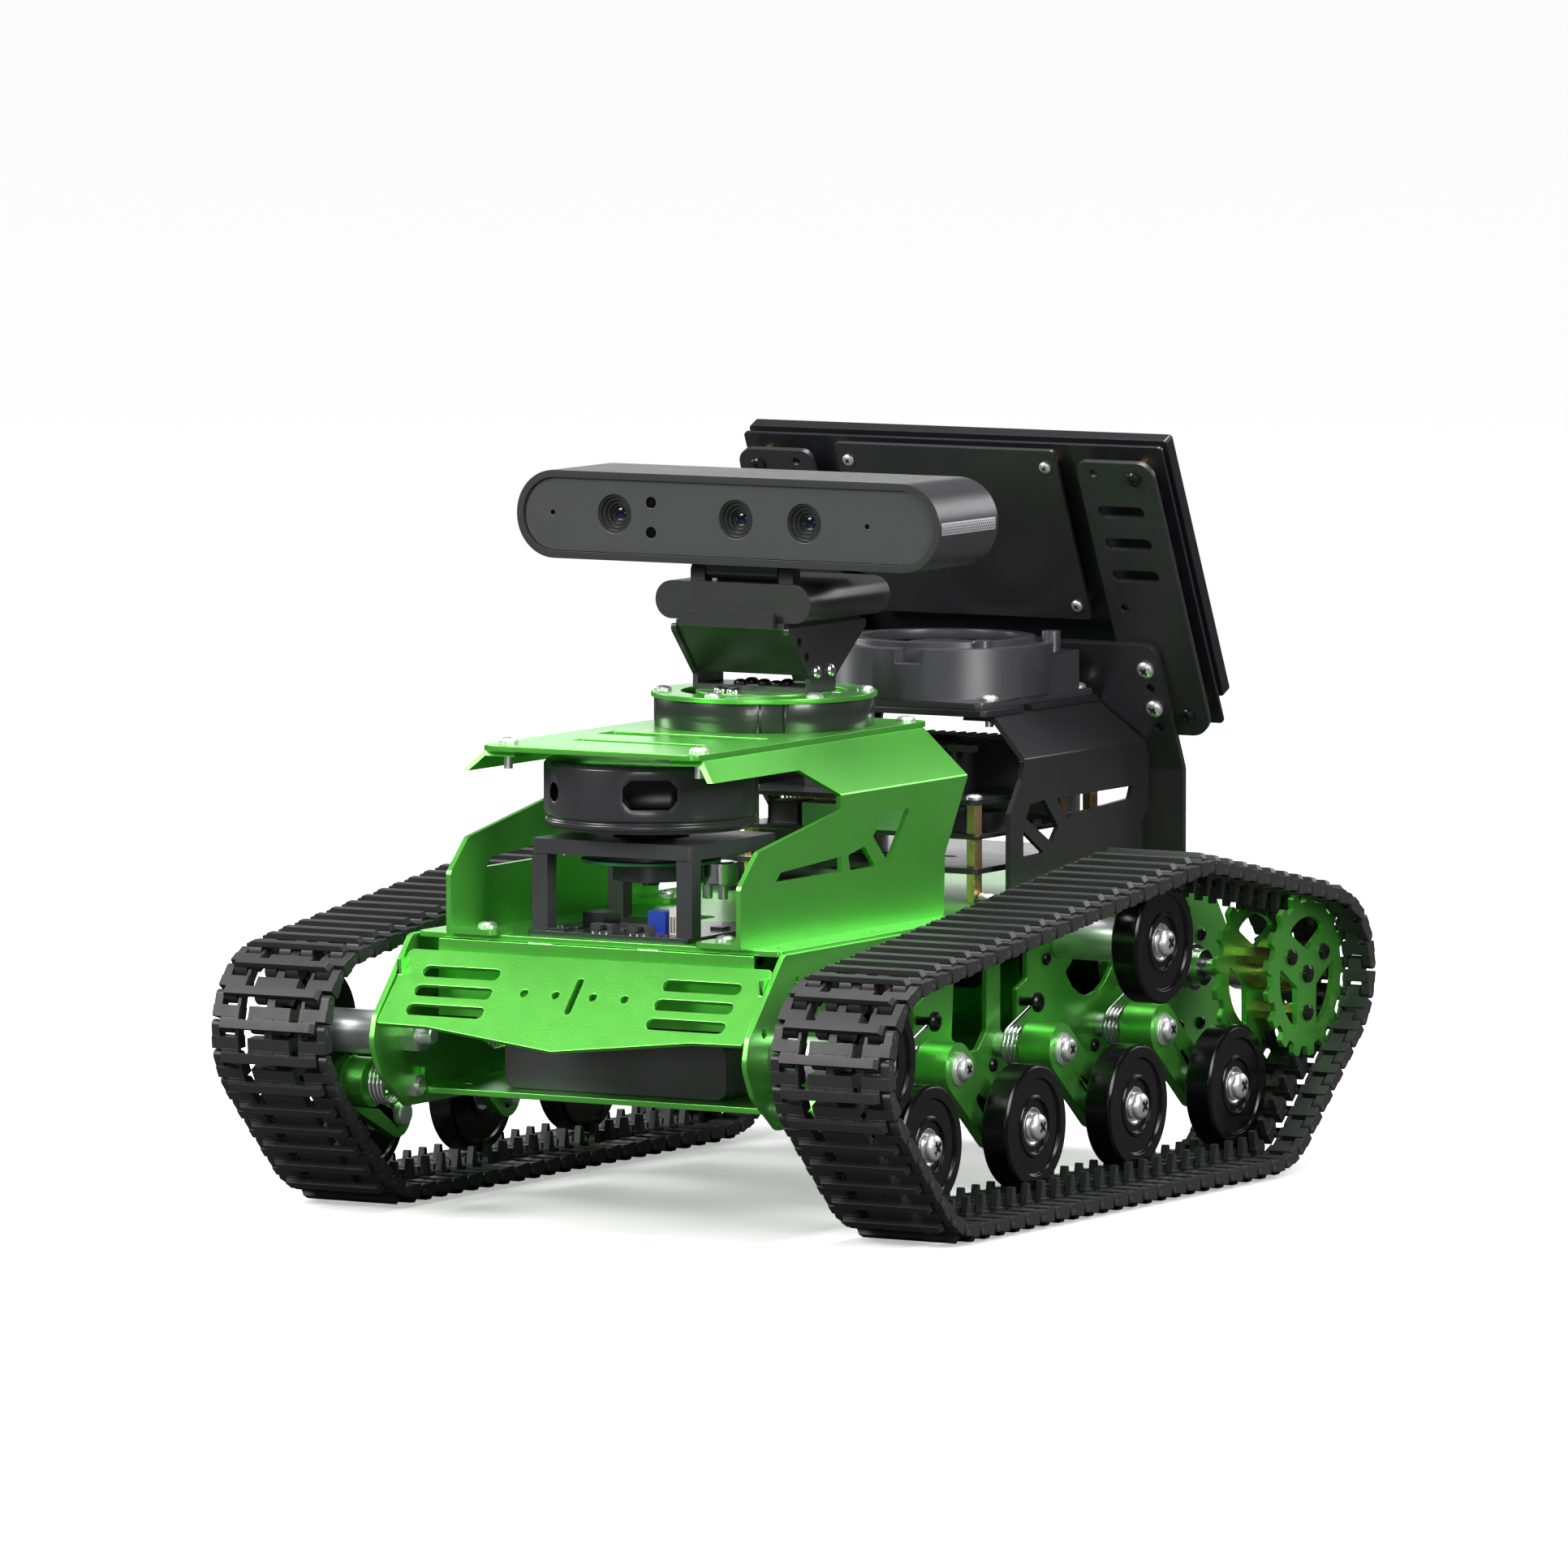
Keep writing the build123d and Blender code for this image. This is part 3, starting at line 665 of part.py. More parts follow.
plates = []
for sx in (-1, 1):
    pts = [(sx * 52.5, -2.5), (sx * 82.2, -2.5), (sx * 82.2, -110.0), (sx * 52.5, -110.0)]
    hs_ = [slot(sx * 66.3, -s, 9.0, 2.2) for s in (22.0, 34.6, 47.2)] + [(sx * 59.0, -7.0, 1.5), (sx * 59.0, -60.0, 1.5)]
    hs_ += [(sx * 74.5, -8.5, 1.5), (sx * 74.5, -101.8, 1.5)]
    hs_ += [(sx * 63.4, -s, 1.6) for s in (82.6, 98.0)]
    plates.append(on_display(prism("xy", pts, 15.1, 17.3, rad=[4, 6, 8, 4], holes=hs_)))
cover = on_display(prism("xy", [(-43.5, -66.5), (43.5, -66.5), (43.5, 0.0), (-43.5, 0.0)], 13.4, 15.2, rad=1.5, holes=[(sx * 39.0, -s, 1.4) for sx in (-1, 1) for s in (6.5, 61.0)]))
save("display_plates", plates + [cover])

# support sheet: cross member and legs in the display plane, then vertical to the deck
T2 = 2.5
y_k = 155.6; z_k = 131.0
t0 = 17.3
sin_t, cos_t = math.sin(math.radians(DISPLAY_TILT)), math.cos(math.radians(DISPLAY_TILT))
def disp_pt(s, t):
    return (DISPLAY_TOP[1] + s * sin_t - t * cos_t, DISPLAY_TOP[2] - s * cos_t - t * sin_t)
s_bot = 122.0
yb, zb_ = disp_pt(s_bot, t0 + T2)
yc, zc_ = disp_pt(s_bot, t0)
low = both(prism("yz", [(yb, zb_), (yc, zc_), (yc + (zc_ - 100) * 0.0 + 0.35, zc_ - 1.2), (yc + 0.35, DECK_Z1), (yb + 0.35 - 0.0, DECK_Z1), (yb + 0.35, zb_ - 0.6)], 50.0, 69.0))
upper = prism("xy", [(-69, -73.2), (69, -73.2), (69, -s_bot), (50, -s_bot), (50, -112.0), (44.0, -96.5), (-44.0, -96.5), (-50, -112.0), (-50, -s_bot), (-69, -s_bot)], t0, t0 + T2,
              rad=[5, 5, 0, 0, 6, 6, 6, 6, 0, 0], holes=[(sx * 63.4, -s, 1.6) for sx in (-1, 1) for s in (82.6, 90.2, 98.0, 105.6)])
feet = both(box(50.5, 68.5, yb + 0.35 + 0.1, yb + 10.5, DECK_Z1, DECK_Z1 + T2))
save("display_support", [fuse(on_display(upper), *low, *feet)])

# ---------------------------------------------------------------- screws
silver, black = [], []
for sx in (-1, 1):
    silver += [pan_screw(sx * 46.1, -122.4, DECK_Z1 + T, (0, 0, 1), 3.3, 2.0, 1.5, 4.6), pan_screw(sx * 48.5, -1.5, DECK_Z1 + T, (0, 0, 1), 3.3, 2.0, 1.5, 1.7),
               pan_screw(sx * 36.9, -123.9, roof_z + 2.0, (0, 0, 1), 3.3, 2.0, 1.5, 8.5), pan_screw(sx * 36.9, 15.0, roof_z + 2.0, (0, 0, 1), 3.3, 2.0, 1.5, 6.0),
               pan_screw(sx * 51.1, 46.8, DECK_Z1 + T, (0, 0, 1), 3.3, 2.0, 1.5, 1.7), pan_screw(sx * 50.5, 138.0, DECK_Z1 + T, (0, 0, 1), 3.3, 2.0, 1.5, 1.7),
               pan_screw(sx * 37.0, 73.0, b0 + 2.6, (0, 0, 1), 3.2, 2.0, 1.5, 9.0), pan_screw(sx * 37.0, 135.0, b0 + 2.6, (0, 0, 1), 3.2, 2.0, 1.5, 9.0)]
    for y in (50.0, 132.0):
        silver.append(pan_screw(sx * 44.0, y, 131.6, (0, 0, 1), 2.8, 1.6, 1.45, 1.75))
for a in (30, 90, 150, 210, 270, 330):
    silver.append(pan_screw(34.3 * math.cos(math.radians(a)), PAN_Y + 34.3 * math.sin(math.radians(a)), 172.0, (0, 0, 1), 2.9, 1.7, 1.45, 1.65))
nf = (0, -cos_t, -sin_t)
def dscrew(x, s, t, rh, hh, rs, ln):
    y, z = disp_pt(s, t)
    return pan_screw(x, y, z, nf, rh, hh, rs, ln)
for sx in (-1, 1):
    silver += [dscrew(sx * 63.4, s, t0 + T2, 3.1, 2.1, 1.55, 4.9) for s in (82.6, 98.0)]
    silver += [dscrew(sx * 39.0, s, 15.2, 2.1, 1.2, 1.35, 1.75) for s in (6.5, 61.0)]
    black += [dscrew(sx * 74.5, s, 17.3, 2.7, 1.8, 1.45, 2.15) for s in (8.5, 101.8)]
save("silver_screws", silver)
for i, (y, z) in enumerate(HOOKS):
    black += [pan_screw(sx * 78.9, y, z, (sx, 0, 0), 3.4, 2.3, 1.5, 8.5) for sx in (-1, 1)]
for y, z in FLANGE_SCREWS:
    black += [pan_screw(sx * SIDE_OUT, y, z, (sx, 0, 0), 2.3, 1.6, 1.2, 1.9) for sx in (-1, 1)]
save("black_screws", black)
print("done")
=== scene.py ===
import bpy, bmesh, math
from mathutils import Vector, Matrix


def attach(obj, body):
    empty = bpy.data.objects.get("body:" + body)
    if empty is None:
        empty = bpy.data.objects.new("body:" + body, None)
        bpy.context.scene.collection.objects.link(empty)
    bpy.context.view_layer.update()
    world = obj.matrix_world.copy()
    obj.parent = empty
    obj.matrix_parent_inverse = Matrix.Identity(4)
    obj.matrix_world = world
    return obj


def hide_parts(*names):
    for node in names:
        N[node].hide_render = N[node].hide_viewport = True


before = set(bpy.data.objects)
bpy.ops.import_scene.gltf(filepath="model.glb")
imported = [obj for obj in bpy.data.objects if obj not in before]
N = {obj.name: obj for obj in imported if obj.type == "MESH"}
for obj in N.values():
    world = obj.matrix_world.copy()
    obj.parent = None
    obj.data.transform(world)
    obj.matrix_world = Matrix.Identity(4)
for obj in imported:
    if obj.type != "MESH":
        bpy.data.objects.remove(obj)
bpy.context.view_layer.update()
YS = -9.3            # the CAD source works 9.3 mm further back; positions below are in its millimetres


def P(x, y, z):
    return Vector((x / 1000.0, (y + YS) / 1000.0, z / 1000.0))


def cal(v):
    return v.x * 1000.0, v.y * 1000.0 - YS, v.z * 1000.0


# ------------------------------------------------------------------ materials
def mat(name, color, metallic=0.0, rough=0.4, grain=None, tint=0.12, rvar=0.06, coat=0.0, coat_rough=0.08, spec=0.5, trans=0.0):
    """procedural finish: broad colour variation, roughness variation and fine grain, all on object coordinates in metres"""
    m = bpy.data.materials.new(name)
    m.use_nodes = True
    nt = m.node_tree; nd = nt.nodes; L = nt.links
    b = nd["Principled BSDF"]
    b.inputs["Metallic"].default_value = metallic
    b.inputs["Coat Weight"].default_value = coat
    b.inputs["Coat Roughness"].default_value = coat_rough
    b.inputs["Specular IOR Level"].default_value = spec
    if trans:
        b.inputs["Transmission Weight"].default_value = trans
    tc = nd.new("ShaderNodeTexCoord")
    n1 = nd.new("ShaderNodeTexNoise"); n1.inputs["Scale"].default_value = 38.0; n1.inputs["Detail"].default_value = 4.0
    L.new(tc.outputs["Object"], n1.inputs["Vector"])
    mx = nd.new("ShaderNodeMix"); mx.data_type = "RGBA"
    lo = tuple(c * (1 - tint) for c in color); hi = tuple(min(1.0, c * (1 + tint)) for c in color)
    mx.inputs["A"].default_value = (*lo, 1); mx.inputs["B"].default_value = (*hi, 1)
    L.new(n1.outputs["Fac"], mx.inputs["Factor"])
    L.new(mx.outputs["Result"], b.inputs["Base Color"])
    n2 = nd.new("ShaderNodeTexNoise"); n2.inputs["Scale"].default_value = 160.0; n2.inputs["Detail"].default_value = 5.0
    L.new(tc.outputs["Object"], n2.inputs["Vector"])
    mr = nd.new("ShaderNodeMapRange")
    mr.inputs["To Min"].default_value = max(0.02, rough - rvar); mr.inputs["To Max"].default_value = min(1.0, rough + rvar)
    L.new(n2.outputs["Fac"], mr.inputs["Value"])
    L.new(mr.outputs["Result"], b.inputs["Roughness"])
    if grain:
        scale, strength, dist = grain
        n3 = nd.new("ShaderNodeTexNoise"); n3.inputs["Scale"].default_value = scale; n3.inputs["Detail"].default_value = 2.5
        L.new(tc.outputs["Object"], n3.inputs["Vector"])
        bu = nd.new("ShaderNodeBump"); bu.inputs["Strength"].default_value = strength; bu.inputs["Distance"].default_value = dist
        L.new(n3.outputs["Fac"], bu.inputs["Height"])
        L.new(bu.outputs["Normal"], b.inputs["Normal"])
    return m


GREEN = mat("green_anodised", (0.160, 0.71, 0.095), 0.84, 0.34, (1700, 0.55, 0.00012), 0.05, 0.03, coat=0.34, coat_rough=0.22)
BLACKANO = mat("black_anodised", (0.062, 0.059, 0.063), 0.72, 0.36, (1200, 0.28, 0.00010), 0.12, 0.05)
TRACK = mat("track_plastic", (0.022, 0.0215, 0.023), 0.0, 0.46, (900, 0.25, 0.00008), 0.16, 0.08)
WHEEL = mat("wheel_plastic", (0.003, 0.003, 0.0033), 0.0, 0.19, (420, 0.06, 0.00005), 0.2, 0.04, coat=0.0, spec=0.24)
DARK = mat("dark_plastic", (0.042, 0.041, 0.045), 0.0, 0.36, (800, 0.16, 0.00006), 0.12, 0.06)
LIDAR = mat("lidar_plastic", (0.038, 0.036, 0.040), 0.15, 0.30, (650, 0.08, 0.00004), 0.12, 0.05, coat=0.2)
DRUM = mat("drum_plastic", (0.034, 0.040, 0.035), 0.25, 0.24, (900, 0.03, 0.00002), 0.04, 0.012, coat=0.3)
STEEL = mat("steel", (0.80, 0.80, 0.82), 1.0, 0.20, (700, 0.08, 0.00003), 0.05, 0.06)
SLEEVE = mat("sleeve_aluminium", (0.86, 0.86, 0.88), 0.85, 0.38, (520, 0.08, 0.00004), 0.04, 0.05)
BRASS = mat("brass", (0.76, 0.53, 0.25), 1.0, 0.26, (600, 0.10, 0.00004), 0.08, 0.06)
PCB = mat("circuit_board", (0.016, 0.018, 0.020), 0.0, 0.34, (420, 0.18, 0.00008), 0.25, 0.08, coat=0.2)
PCBGREEN = mat("board_green", (0.02, 0.16, 0.06), 0.0, 0.34, (420, 0.18, 0.00008), 0.2, 0.08, coat=0.2)
BATTERY = mat("battery_case", (0.075, 0.068, 0.078), 0.0, 0.42, (900, 0.14, 0.00006), 0.08, 0.05)
SHELL = mat("camera_shell", (0.055, 0.053, 0.056), 0.55, 0.36, (900, 0.08, 0.00004), 0.06, 0.04)
FACE = mat("camera_face", (0.062, 0.060, 0.064), 0.15, 0.36, (1000, 0.07, 0.00004), 0.05, 0.04)
LENSRING = mat("lens_ring", (0.018, 0.018, 0.019), 0.1, 0.34, (900, 0.06, 0.00003), 0.1, 0.05)
GLASS = mat("lens_glass", (0.004, 0.007, 0.026), 0.0, 0.09, None, 0.5, 0.02, coat=0.35, coat_rough=0.05, spec=0.45)
WINDOW = mat("window_glass", (0.0025, 0.002, 0.003), 0.0, 0.22, None, 0.2, 0.02, coat=0.0, spec=0.22)
SCREEN = mat("display_black", (0.012, 0.012, 0.014), 0.0, 0.30, (500, 0.05, 0.00004), 0.15, 0.05, coat=0.2)
SCREENGLASS = mat("screen_glass", (0.005, 0.006, 0.009), 0.0, 0.07, None, 0.2, 0.02, coat=1.0, coat_rough=0.03)
BLACKSCREW = mat("black_screw", (0.030, 0.030, 0.032), 0.8, 0.26, (700, 0.12, 0.00004), 0.12, 0.06)
WHITEP = mat("connector_white", (0.78, 0.77, 0.73), 0.0, 0.40, (700, 0.06, 0.00004), 0.04, 0.05)
BLUEP = mat("connector_blue", (0.02, 0.06, 0.45), 0.0, 0.36, (700, 0.06, 0.00004), 0.08, 0.05)
GOLD = mat("pin_gold", (0.83, 0.62, 0.24), 1.0, 0.24, (800, 0.06, 0.00003), 0.06, 0.05)
PIN = mat("pin_steel", (0.20, 0.20, 0.21), 0.9, 0.36, (700, 0.06, 0.00003), 0.1, 0.05)
SCREW = mat("screw_steel", (0.86, 0.86, 0.86), 0.92, 0.40, (700, 0.05, 0.00003), 0.05, 0.04)
# dark metal for the cut cross recesses of the steel screws: painted shade, the recess is the same steel as the head
RECESS_SHADE = mat("screw_recess", (0.10, 0.10, 0.105), 0.85, 0.42, (700, 0.05, 0.00003), 0.1, 0.05)
COPPER = mat("motor_core", (0.50, 0.30, 0.14), 1.0, 0.34, (500, 0.12, 0.00004), 0.15, 0.08)

DEFAULT = {
    "green": ["side_plates", "top_deck", "front_plate", "bottom_tray", "canopy_side_panels", "canopy_top_plates", "sprocket_right", "sprocket_left", "camera_turntable"]
    + ["arm_%s_%d" % (s, i) for s in ("right", "left") for i in (1, 2, 3, 4)],
    "blackano": ["camera_bracket", "rear_side_panels", "rear_top_plate", "display_support", "display_plates", "heat_sink"],
    "track": ["track_right", "track_left"],
    "wheel": ["road_wheel_%s_%d" % (s, i) for s in ("right", "left") for i in (1, 2, 3, 4)] + ["%s_%s" % (n, s) for n in ("front_idler", "top_idler") for s in ("right", "left")],
    "dark": ["lidar_stand", "blower_housing", "blower_rotor", "power_switch_lever", "mode_switch_lever"],
    "lidar": ["lidar_head"], "drum": ["turntable_housing"], "steel": ["gear_motors", "torsion_springs"], "screw": ["axle_bolts", "silver_screws"], "pin": ["track_pins"],
    "sleeve": ["idler_sleeves"], "brass": ["brass_standoffs"], "pcb": ["control_board", "computer_stack"], "battery": ["battery_pack"],
    "shell": ["camera_bar", "camera_base"], "face": ["camera_front_panel"], "lens": ["camera_lenses"], "screen": ["display_module"], "blackscrew": ["black_screws"],
}
MATS = dict(green=GREEN, blackano=BLACKANO, track=TRACK, wheel=WHEEL, dark=DARK, lidar=LIDAR, drum=DRUM, steel=STEEL, screw=SCREW, pin=PIN, sleeve=SLEEVE, brass=BRASS, pcb=PCB, battery=BATTERY, shell=SHELL, face=FACE, lens=LENSRING, screen=SCREEN, blackscrew=BLACKSCREW)


def paint(name, mats, pick=None):
    """materials on a node; pick(x, y, z, normal) in CAD source millimetres gives the slot of a face"""
    o = N[name]
    o.data.materials.clear()
    for m in mats:
        o.data.materials.append(m)
    if pick:
        for p in o.data.polygons:
            x, y, z = cal(p.center)
            p.material_index = pick(x, y, z, p.normal)
    else:
        for p in o.data.polygons:
            p.material_index = 0


for key, names in DEFAULT.items():
    for n in names:
        paint(n, [MATS[key]])

ROAD_Y = (-102.0, -30.6, 40.8, 112.2); HUB_Z = 30.9
PIVOTS = ((-131.0, 44.5), (-56.0, 52.0), (15.4, 52.0), (86.8, 52.0))
HOOKS = ((-114.5, 72.0), (-40.2, 65.4), (31.1, 65.4), (102.5, 65.4))
FRONT_IDLER = (-133.1, 61.8); TOP_IDLER = (59.2, 85.0); SPROCKET = (150.5, 66.5)
WHEELS = {"front_idler": FRONT_IDLER, "top_idler": TOP_IDLER}

for s in ("right", "left"):
    for i in range(4):
        hy = ROAD_Y[i]
        # the steel axle that the arm carries; slot 2 takes the dark colour of the cut cross recess, painted shade
        paint("arm_%s_%d" % (s, i + 1), [GREEN, SCREW, RECESS_SHADE], lambda x, y, z, nn, hy=hy: 1 if (abs(x) > 97.6 or (math.hypot(y - hy, z - HUB_Z) < 4.35 and abs(x) < 93.45)) and math.hypot(y - hy, z - HUB_Z) < 6.0 else 0)
        paint("road_wheel_%s_%d" % (s, i + 1), [WHEEL, STEEL], lambda x, y, z, nn, hy=hy: 1 if math.hypot(y - hy, z - HUB_Z) < 6.55 else 0)
    for n, (cy, cz) in WHEELS.items():
        paint("%s_%s" % (n, s), [WHEEL, STEEL], lambda x, y, z, nn, cy=cy, cz=cz: 1 if math.hypot(y - cy, z - cz) < 6.55 else 0)

    def spick(x, y, z, nn):
        ax = abs(x); r = math.hypot(y - SPROCKET[0], z - SPROCKET[1])
        if ax < 96.0: return 1                              # shaft and coupling
        if ax > 119.45 and r < 17.0: return 2               # black screw heads outside
        if ax < 97.35 and r < 17.0: return 2
        if 99.45 < ax < 117.35 and 6.3 < r < 17.2: return 3 # spacers between the discs
        if 99.45 < ax < 117.35 and r <= 6.5: return 1
        return 0
    paint("sprocket_" + s, [GREEN, STEEL, BLACKSCREW, BRASS], spick)


def board_pick(x, y, z, nn):
    if z < 97.95: return 0
    if y < -116.5 and -7.5 < x < 16.5: return 1
    if x > 17.5 and y < -105.0: return 2
    if 9.5 < x < 17.0 and -112.0 < y < -105.0: return 3
    return 0


paint("control_board", [PCB, DARK, WHITEP, BLUEP], board_pick)
paint("computer_stack", [PCB, STEEL, DARK], lambda x, y, z, nn: 1 if (119.7 < z < 129.0 and (y > 121 or (y < 59 and -23 < x < 37))) else (2 if 119.7 < z < 127.5 else 0))
paint("camera_lenses", [LENSRING, GLASS], lambda x, y, z, nn: 1 if min(math.hypot(x - a, z - b) for a, b in ((-44.6, 231.8), (2.9, 231.6), (29.5, 231.2))) < 1.9 else 0)
paint("camera_front_panel", [FACE, WINDOW], lambda x, y, z, nn: 1 if (abs(nn.y) < 0.5 and min(min(math.hypot(x + 30.2, z - b) - 1.9 for b in (236.1, 225.9)), math.hypot(x + 68.8, z - 231.5) - 0.8, math.hypot(x - 54.0, z - 231.0) - 0.8) < 0.25) else 0)
for p in N["camera_lenses"].data.polygons:                  # the two small plugs beside the first lens are dark windows
    x, y, z = cal(p.center)
    if math.hypot(x + 30.2, z - 236.1) < 2.1 or math.hypot(x + 30.2, z - 225.9) < 2.1:
        p.material_index = 2
N["camera_lenses"].data.materials.append(WINDOW)
paint("lidar_head", [LIDAR, WINDOW], lambda x, y, z, nn: 1 if 139.0 < z < 151.5 and math.hypot(x, y + 92.7) < 35.2 else 0)
paint("gear_motors", [STEEL, BLACKANO, GREEN], lambda x, y, z, nn: 2 if (46.0 <= abs(x) <= 52.05 and (math.hypot(y - 150.5, z - 66.5) > 12.7 or z < 55)) else (1 if abs(x) < 44.3 else 0))


# ------------------------------------------------------------------ edges and shading, as modifiers only
def ng_merge(dist=2e-6):
    g = bpy.data.node_groups.new("merge_split_corners", "GeometryNodeTree")
    g.interface.new_socket(name="Geometry", in_out="INPUT", socket_type="NodeSocketGeometry")
    g.interface.new_socket(name="Geometry", in_out="OUTPUT", socket_type="NodeSocketGeometry")
    i = g.nodes.new("NodeGroupInput"); o = g.nodes.new("NodeGroupOutput")
    r = g.nodes.new("GeometryNodeRemoveAttribute"); r.inputs["Name"].default_value = "custom_normal"
    m = g.nodes.new("GeometryNodeMergeByDistance"); m.inputs["Distance"].default_value = dist
    g.links.new(i.outputs[0], r.inputs["Geometry"]); g.links.new(r.outputs["Geometry"], m.inputs["Geometry"]); g.links.new(m.outputs["Geometry"], o.inputs[0])
    return g


def ng_smooth(deg):
    g = bpy.data.node_groups.new("smooth_by_angle_%d" % deg, "GeometryNodeTree")
    g.interface.new_socket(name="Geometry", in_out="INPUT", socket_type="NodeSocketGeometry")
    g.interface.new_socket(name="Geometry", in_out="OUTPUT", socket_type="NodeSocketGeometry")
    i = g.nodes.new("NodeGroupInput"); o = g.nodes.new("NodeGroupOutput")
    a = g.nodes.new("GeometryNodeSetShadeSmooth"); a.domain = "FACE"; a.inputs["Shade Smooth"].default_value = True
    e = g.nodes.new("GeometryNodeInputMeshEdgeAngle")
    c = g.nodes.new("FunctionNodeCompare"); c.data_type = "FLOAT"; c.operation = "GREATER_THAN"; c.inputs[1].default_value = math.radians(deg)
    b = g.nodes.new("GeometryNodeSetShadeSmooth"); b.domain = "EDGE"; b.inputs["Shade Smooth"].default_value = False
    g.links.new(i.outputs[0], a.inputs["Geometry"]); g.links.new(a.outputs["Geometry"], b.inputs["Geometry"])
    g.links.new(e.outputs[0], c.inputs[0]); g.links.new(c.outputs[0], b.inputs["Selection"]); g.links.new(b.outputs["Geometry"], o.inputs[0])
    return g


MERGE, MERGE_WIDE, SMOOTH = ng_merge(), ng_merge(6e-5), ng_smooth(38)


CURVED = {"camera_bar", "camera_base", "turntable_housing", "lidar_head", "blower_housing", "idler_sleeves"}    # no planar dissolve here
ROUND = CURVED - {"camera_bar", "camera_base"}                         # mostly round: plain smooth normals
CLAMP = {"camera_bar", "camera_base", "camera_bracket", "lidar_stand", "canopy_side_panels", "rear_side_panels"} | {"arm_%s_%d" % (s, i) for s in ("right", "left") for i in (2, 3, 4)}


def dress(o, width=0.00022, seg=2, cutter=None, merge=True):
    if merge:
        o.modifiers.new("merge", "NODES").node_group = MERGE_WIDE if o.name.split(".")[0] in ("camera_bar", "camera_base") else MERGE
    if cutter is not None:
        b = o.modifiers.new("recess", "BOOLEAN"); b.object = cutter; b.operation = "DIFFERENCE"; b.solver = "EXACT"
    if width > 0:
        if o.name.split(".")[0] not in CURVED:
            d = o.modifiers.new("flat", "DECIMATE"); d.decimate_type = "DISSOLVE"; d.angle_limit = math.radians(0.6); d.delimit = {"MATERIAL"}
        v = o.modifiers.new("bevel", "BEVEL"); v.width = width; v.segments = seg; v.limit_method = "ANGLE"; v.angle_limit = math.radians(38); v.use_clamp_overlap = o.name.split(".")[0] in CLAMP
    o.modifiers.new("smooth", "NODES").node_group = SMOOTH
    if o.name.split(".")[0] not in ROUND:
        w = o.modifiers.new("weighted", "WEIGHTED_NORMAL"); w.keep_sharp = True; w.weight = 60


# ------------------------------------------------------------------ Phillips recesses cut in the screw heads
def cross_cutter(name, items, body, slot=0):
    """items: (position, outward axis, reach of the cross, depth below the position)"""
    bm = bmesh.new()
    for pos, ax, a, depth in items:
        ax = Vector(ax).normalized()
        u = ax.orthogonal().normalized(); v = ax.cross(u)
        w = a * 0.30
        pts = [(w, a), (w, w), (a, w), (a, -w), (w, -w), (w, -a), (-w, -a), (-w, -w), (-a, -w), (-a, w), (-w, w), (-w, a)]
        top = [bm.verts.new(pos + ax * 0.0006 + u * p[0] + v * p[1]) for p in pts]
        bot = [bm.verts.new(pos - ax * depth + u * p[0] * 0.62 + v * p[1] * 0.62) for p in pts]
        bm.faces.new(top); bm.faces.new(list(reversed(bot)))
        for i in range(12):
            j = (i + 1) % 12
            bm.faces.new((top[j], top[i], bot[i], bot[j]))
    bmesh.ops.recalc_face_normals(bm, faces=bm.faces[:])
    me = bpy.data.meshes.new(name); bm.to_mesh(me); bm.free()
    for k in range(slot + 1):
        me.materials.append(LENSRING)
    for f in me.polygons:
        f.material_index = slot                             # the slot of the darker recess colour on the node that is cut: painted shade in the cross recess
    o = bpy.data.objects.new(name, me); bpy.context.scene.collection.objects.link(o)
    o.hide_render = True; o.hide_viewport = False; o.display_type = "WIRE"
    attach(o, body)
    return o


TILT = math.radians(25.16)
DT = (119.4, 253.8)


def disp(x, s, t):
    return P(x, DT[0] + s * math.sin(TILT) - t * math.cos(TILT), DT[1] - s * math.cos(TILT) - t * math.sin(TILT))


NF = Vector((0, -math.cos(TILT), -math.sin(TILT)))
DECK, ROOF = 96.3, 158.5
B0 = ROOF + 2.2
# the cut recess faces take these darker slots: painted shade in the Phillips recesses
for n, m in (("silver_screws", RECESS_SHADE), ("axle_bolts", RECESS_SHADE), ("black_screws", LENSRING)):
    N[n].data.materials.append(m)
silver = []
for sx in (-1, 1):
    for x, y, z in ((46.1, -122.4, DECK + 3.8), (48.5, -1.5, DECK + 3.8), (36.9, -123.9, ROOF + 4.0), (36.9, 15.0, ROOF + 4.0), (51.1, 46.8, DECK + 3.8), (50.5, 138.0, DECK + 3.8), (37.0, 73.0, B0 + 4.6), (37.0, 135.0, B0 + 4.6)):
        silver.append((P(sx * x, y, z), (0, 0, 1), 0.00185, 0.0013))
    for y in (50.0, 132.0):
        silver.append((P(sx * 44.0, y, 133.2), (0, 0, 1), 0.0016, 0.0010))
    for s in (82.6, 98.0):
        silver.append((disp(sx * 63.4, s, 21.9), NF, 0.0018, 0.0013))
    for s in (6.5, 61.0):
        silver.append((disp(sx * 39.0, s, 16.4), NF, 0.0012, 0.0008))
for a in (30, 90, 150, 210, 270, 330):
    silver.append((P(34.3 * math.cos(math.radians(a)), -17.3 + 34.3 * math.sin(math.radians(a)), 173.7), (0, 0, 1), 0.0016, 0.0011))
black = []
for sx in (-1, 1):
    black += [(disp(sx * 74.5, s, 19.1), NF, 0.0015, 0.0011) for s in (8.5, 101.8)]
    black += [(P(sx * 81.2, y, z), (sx, 0, 0), 0.0019, 0.0014) for y, z in HOOKS]
    black += [(P(sx * 74.6, y, z), (sx, 0, 0), 0.0013, 0.0009) for y, z in ((158.8, 46.2), (143.5, 46.2), (159.3, 77.0), (11.0, 45.5), (82.4, 45.5), (-60.0, 45.5), (48.0, 78.5))]
axles = []
for sx in (-1, 1):
    axles += [(P(sx * 101.8, y, z), (sx, 0, 0), 0.0022, 0.0015) for y, z in PIVOTS]
    axles += [(P(sx * 115.8, y, z), (sx, 0, 0), 0.0026, 0.0017) for y, z in (FRONT_IDLER, TOP_IDLER)]
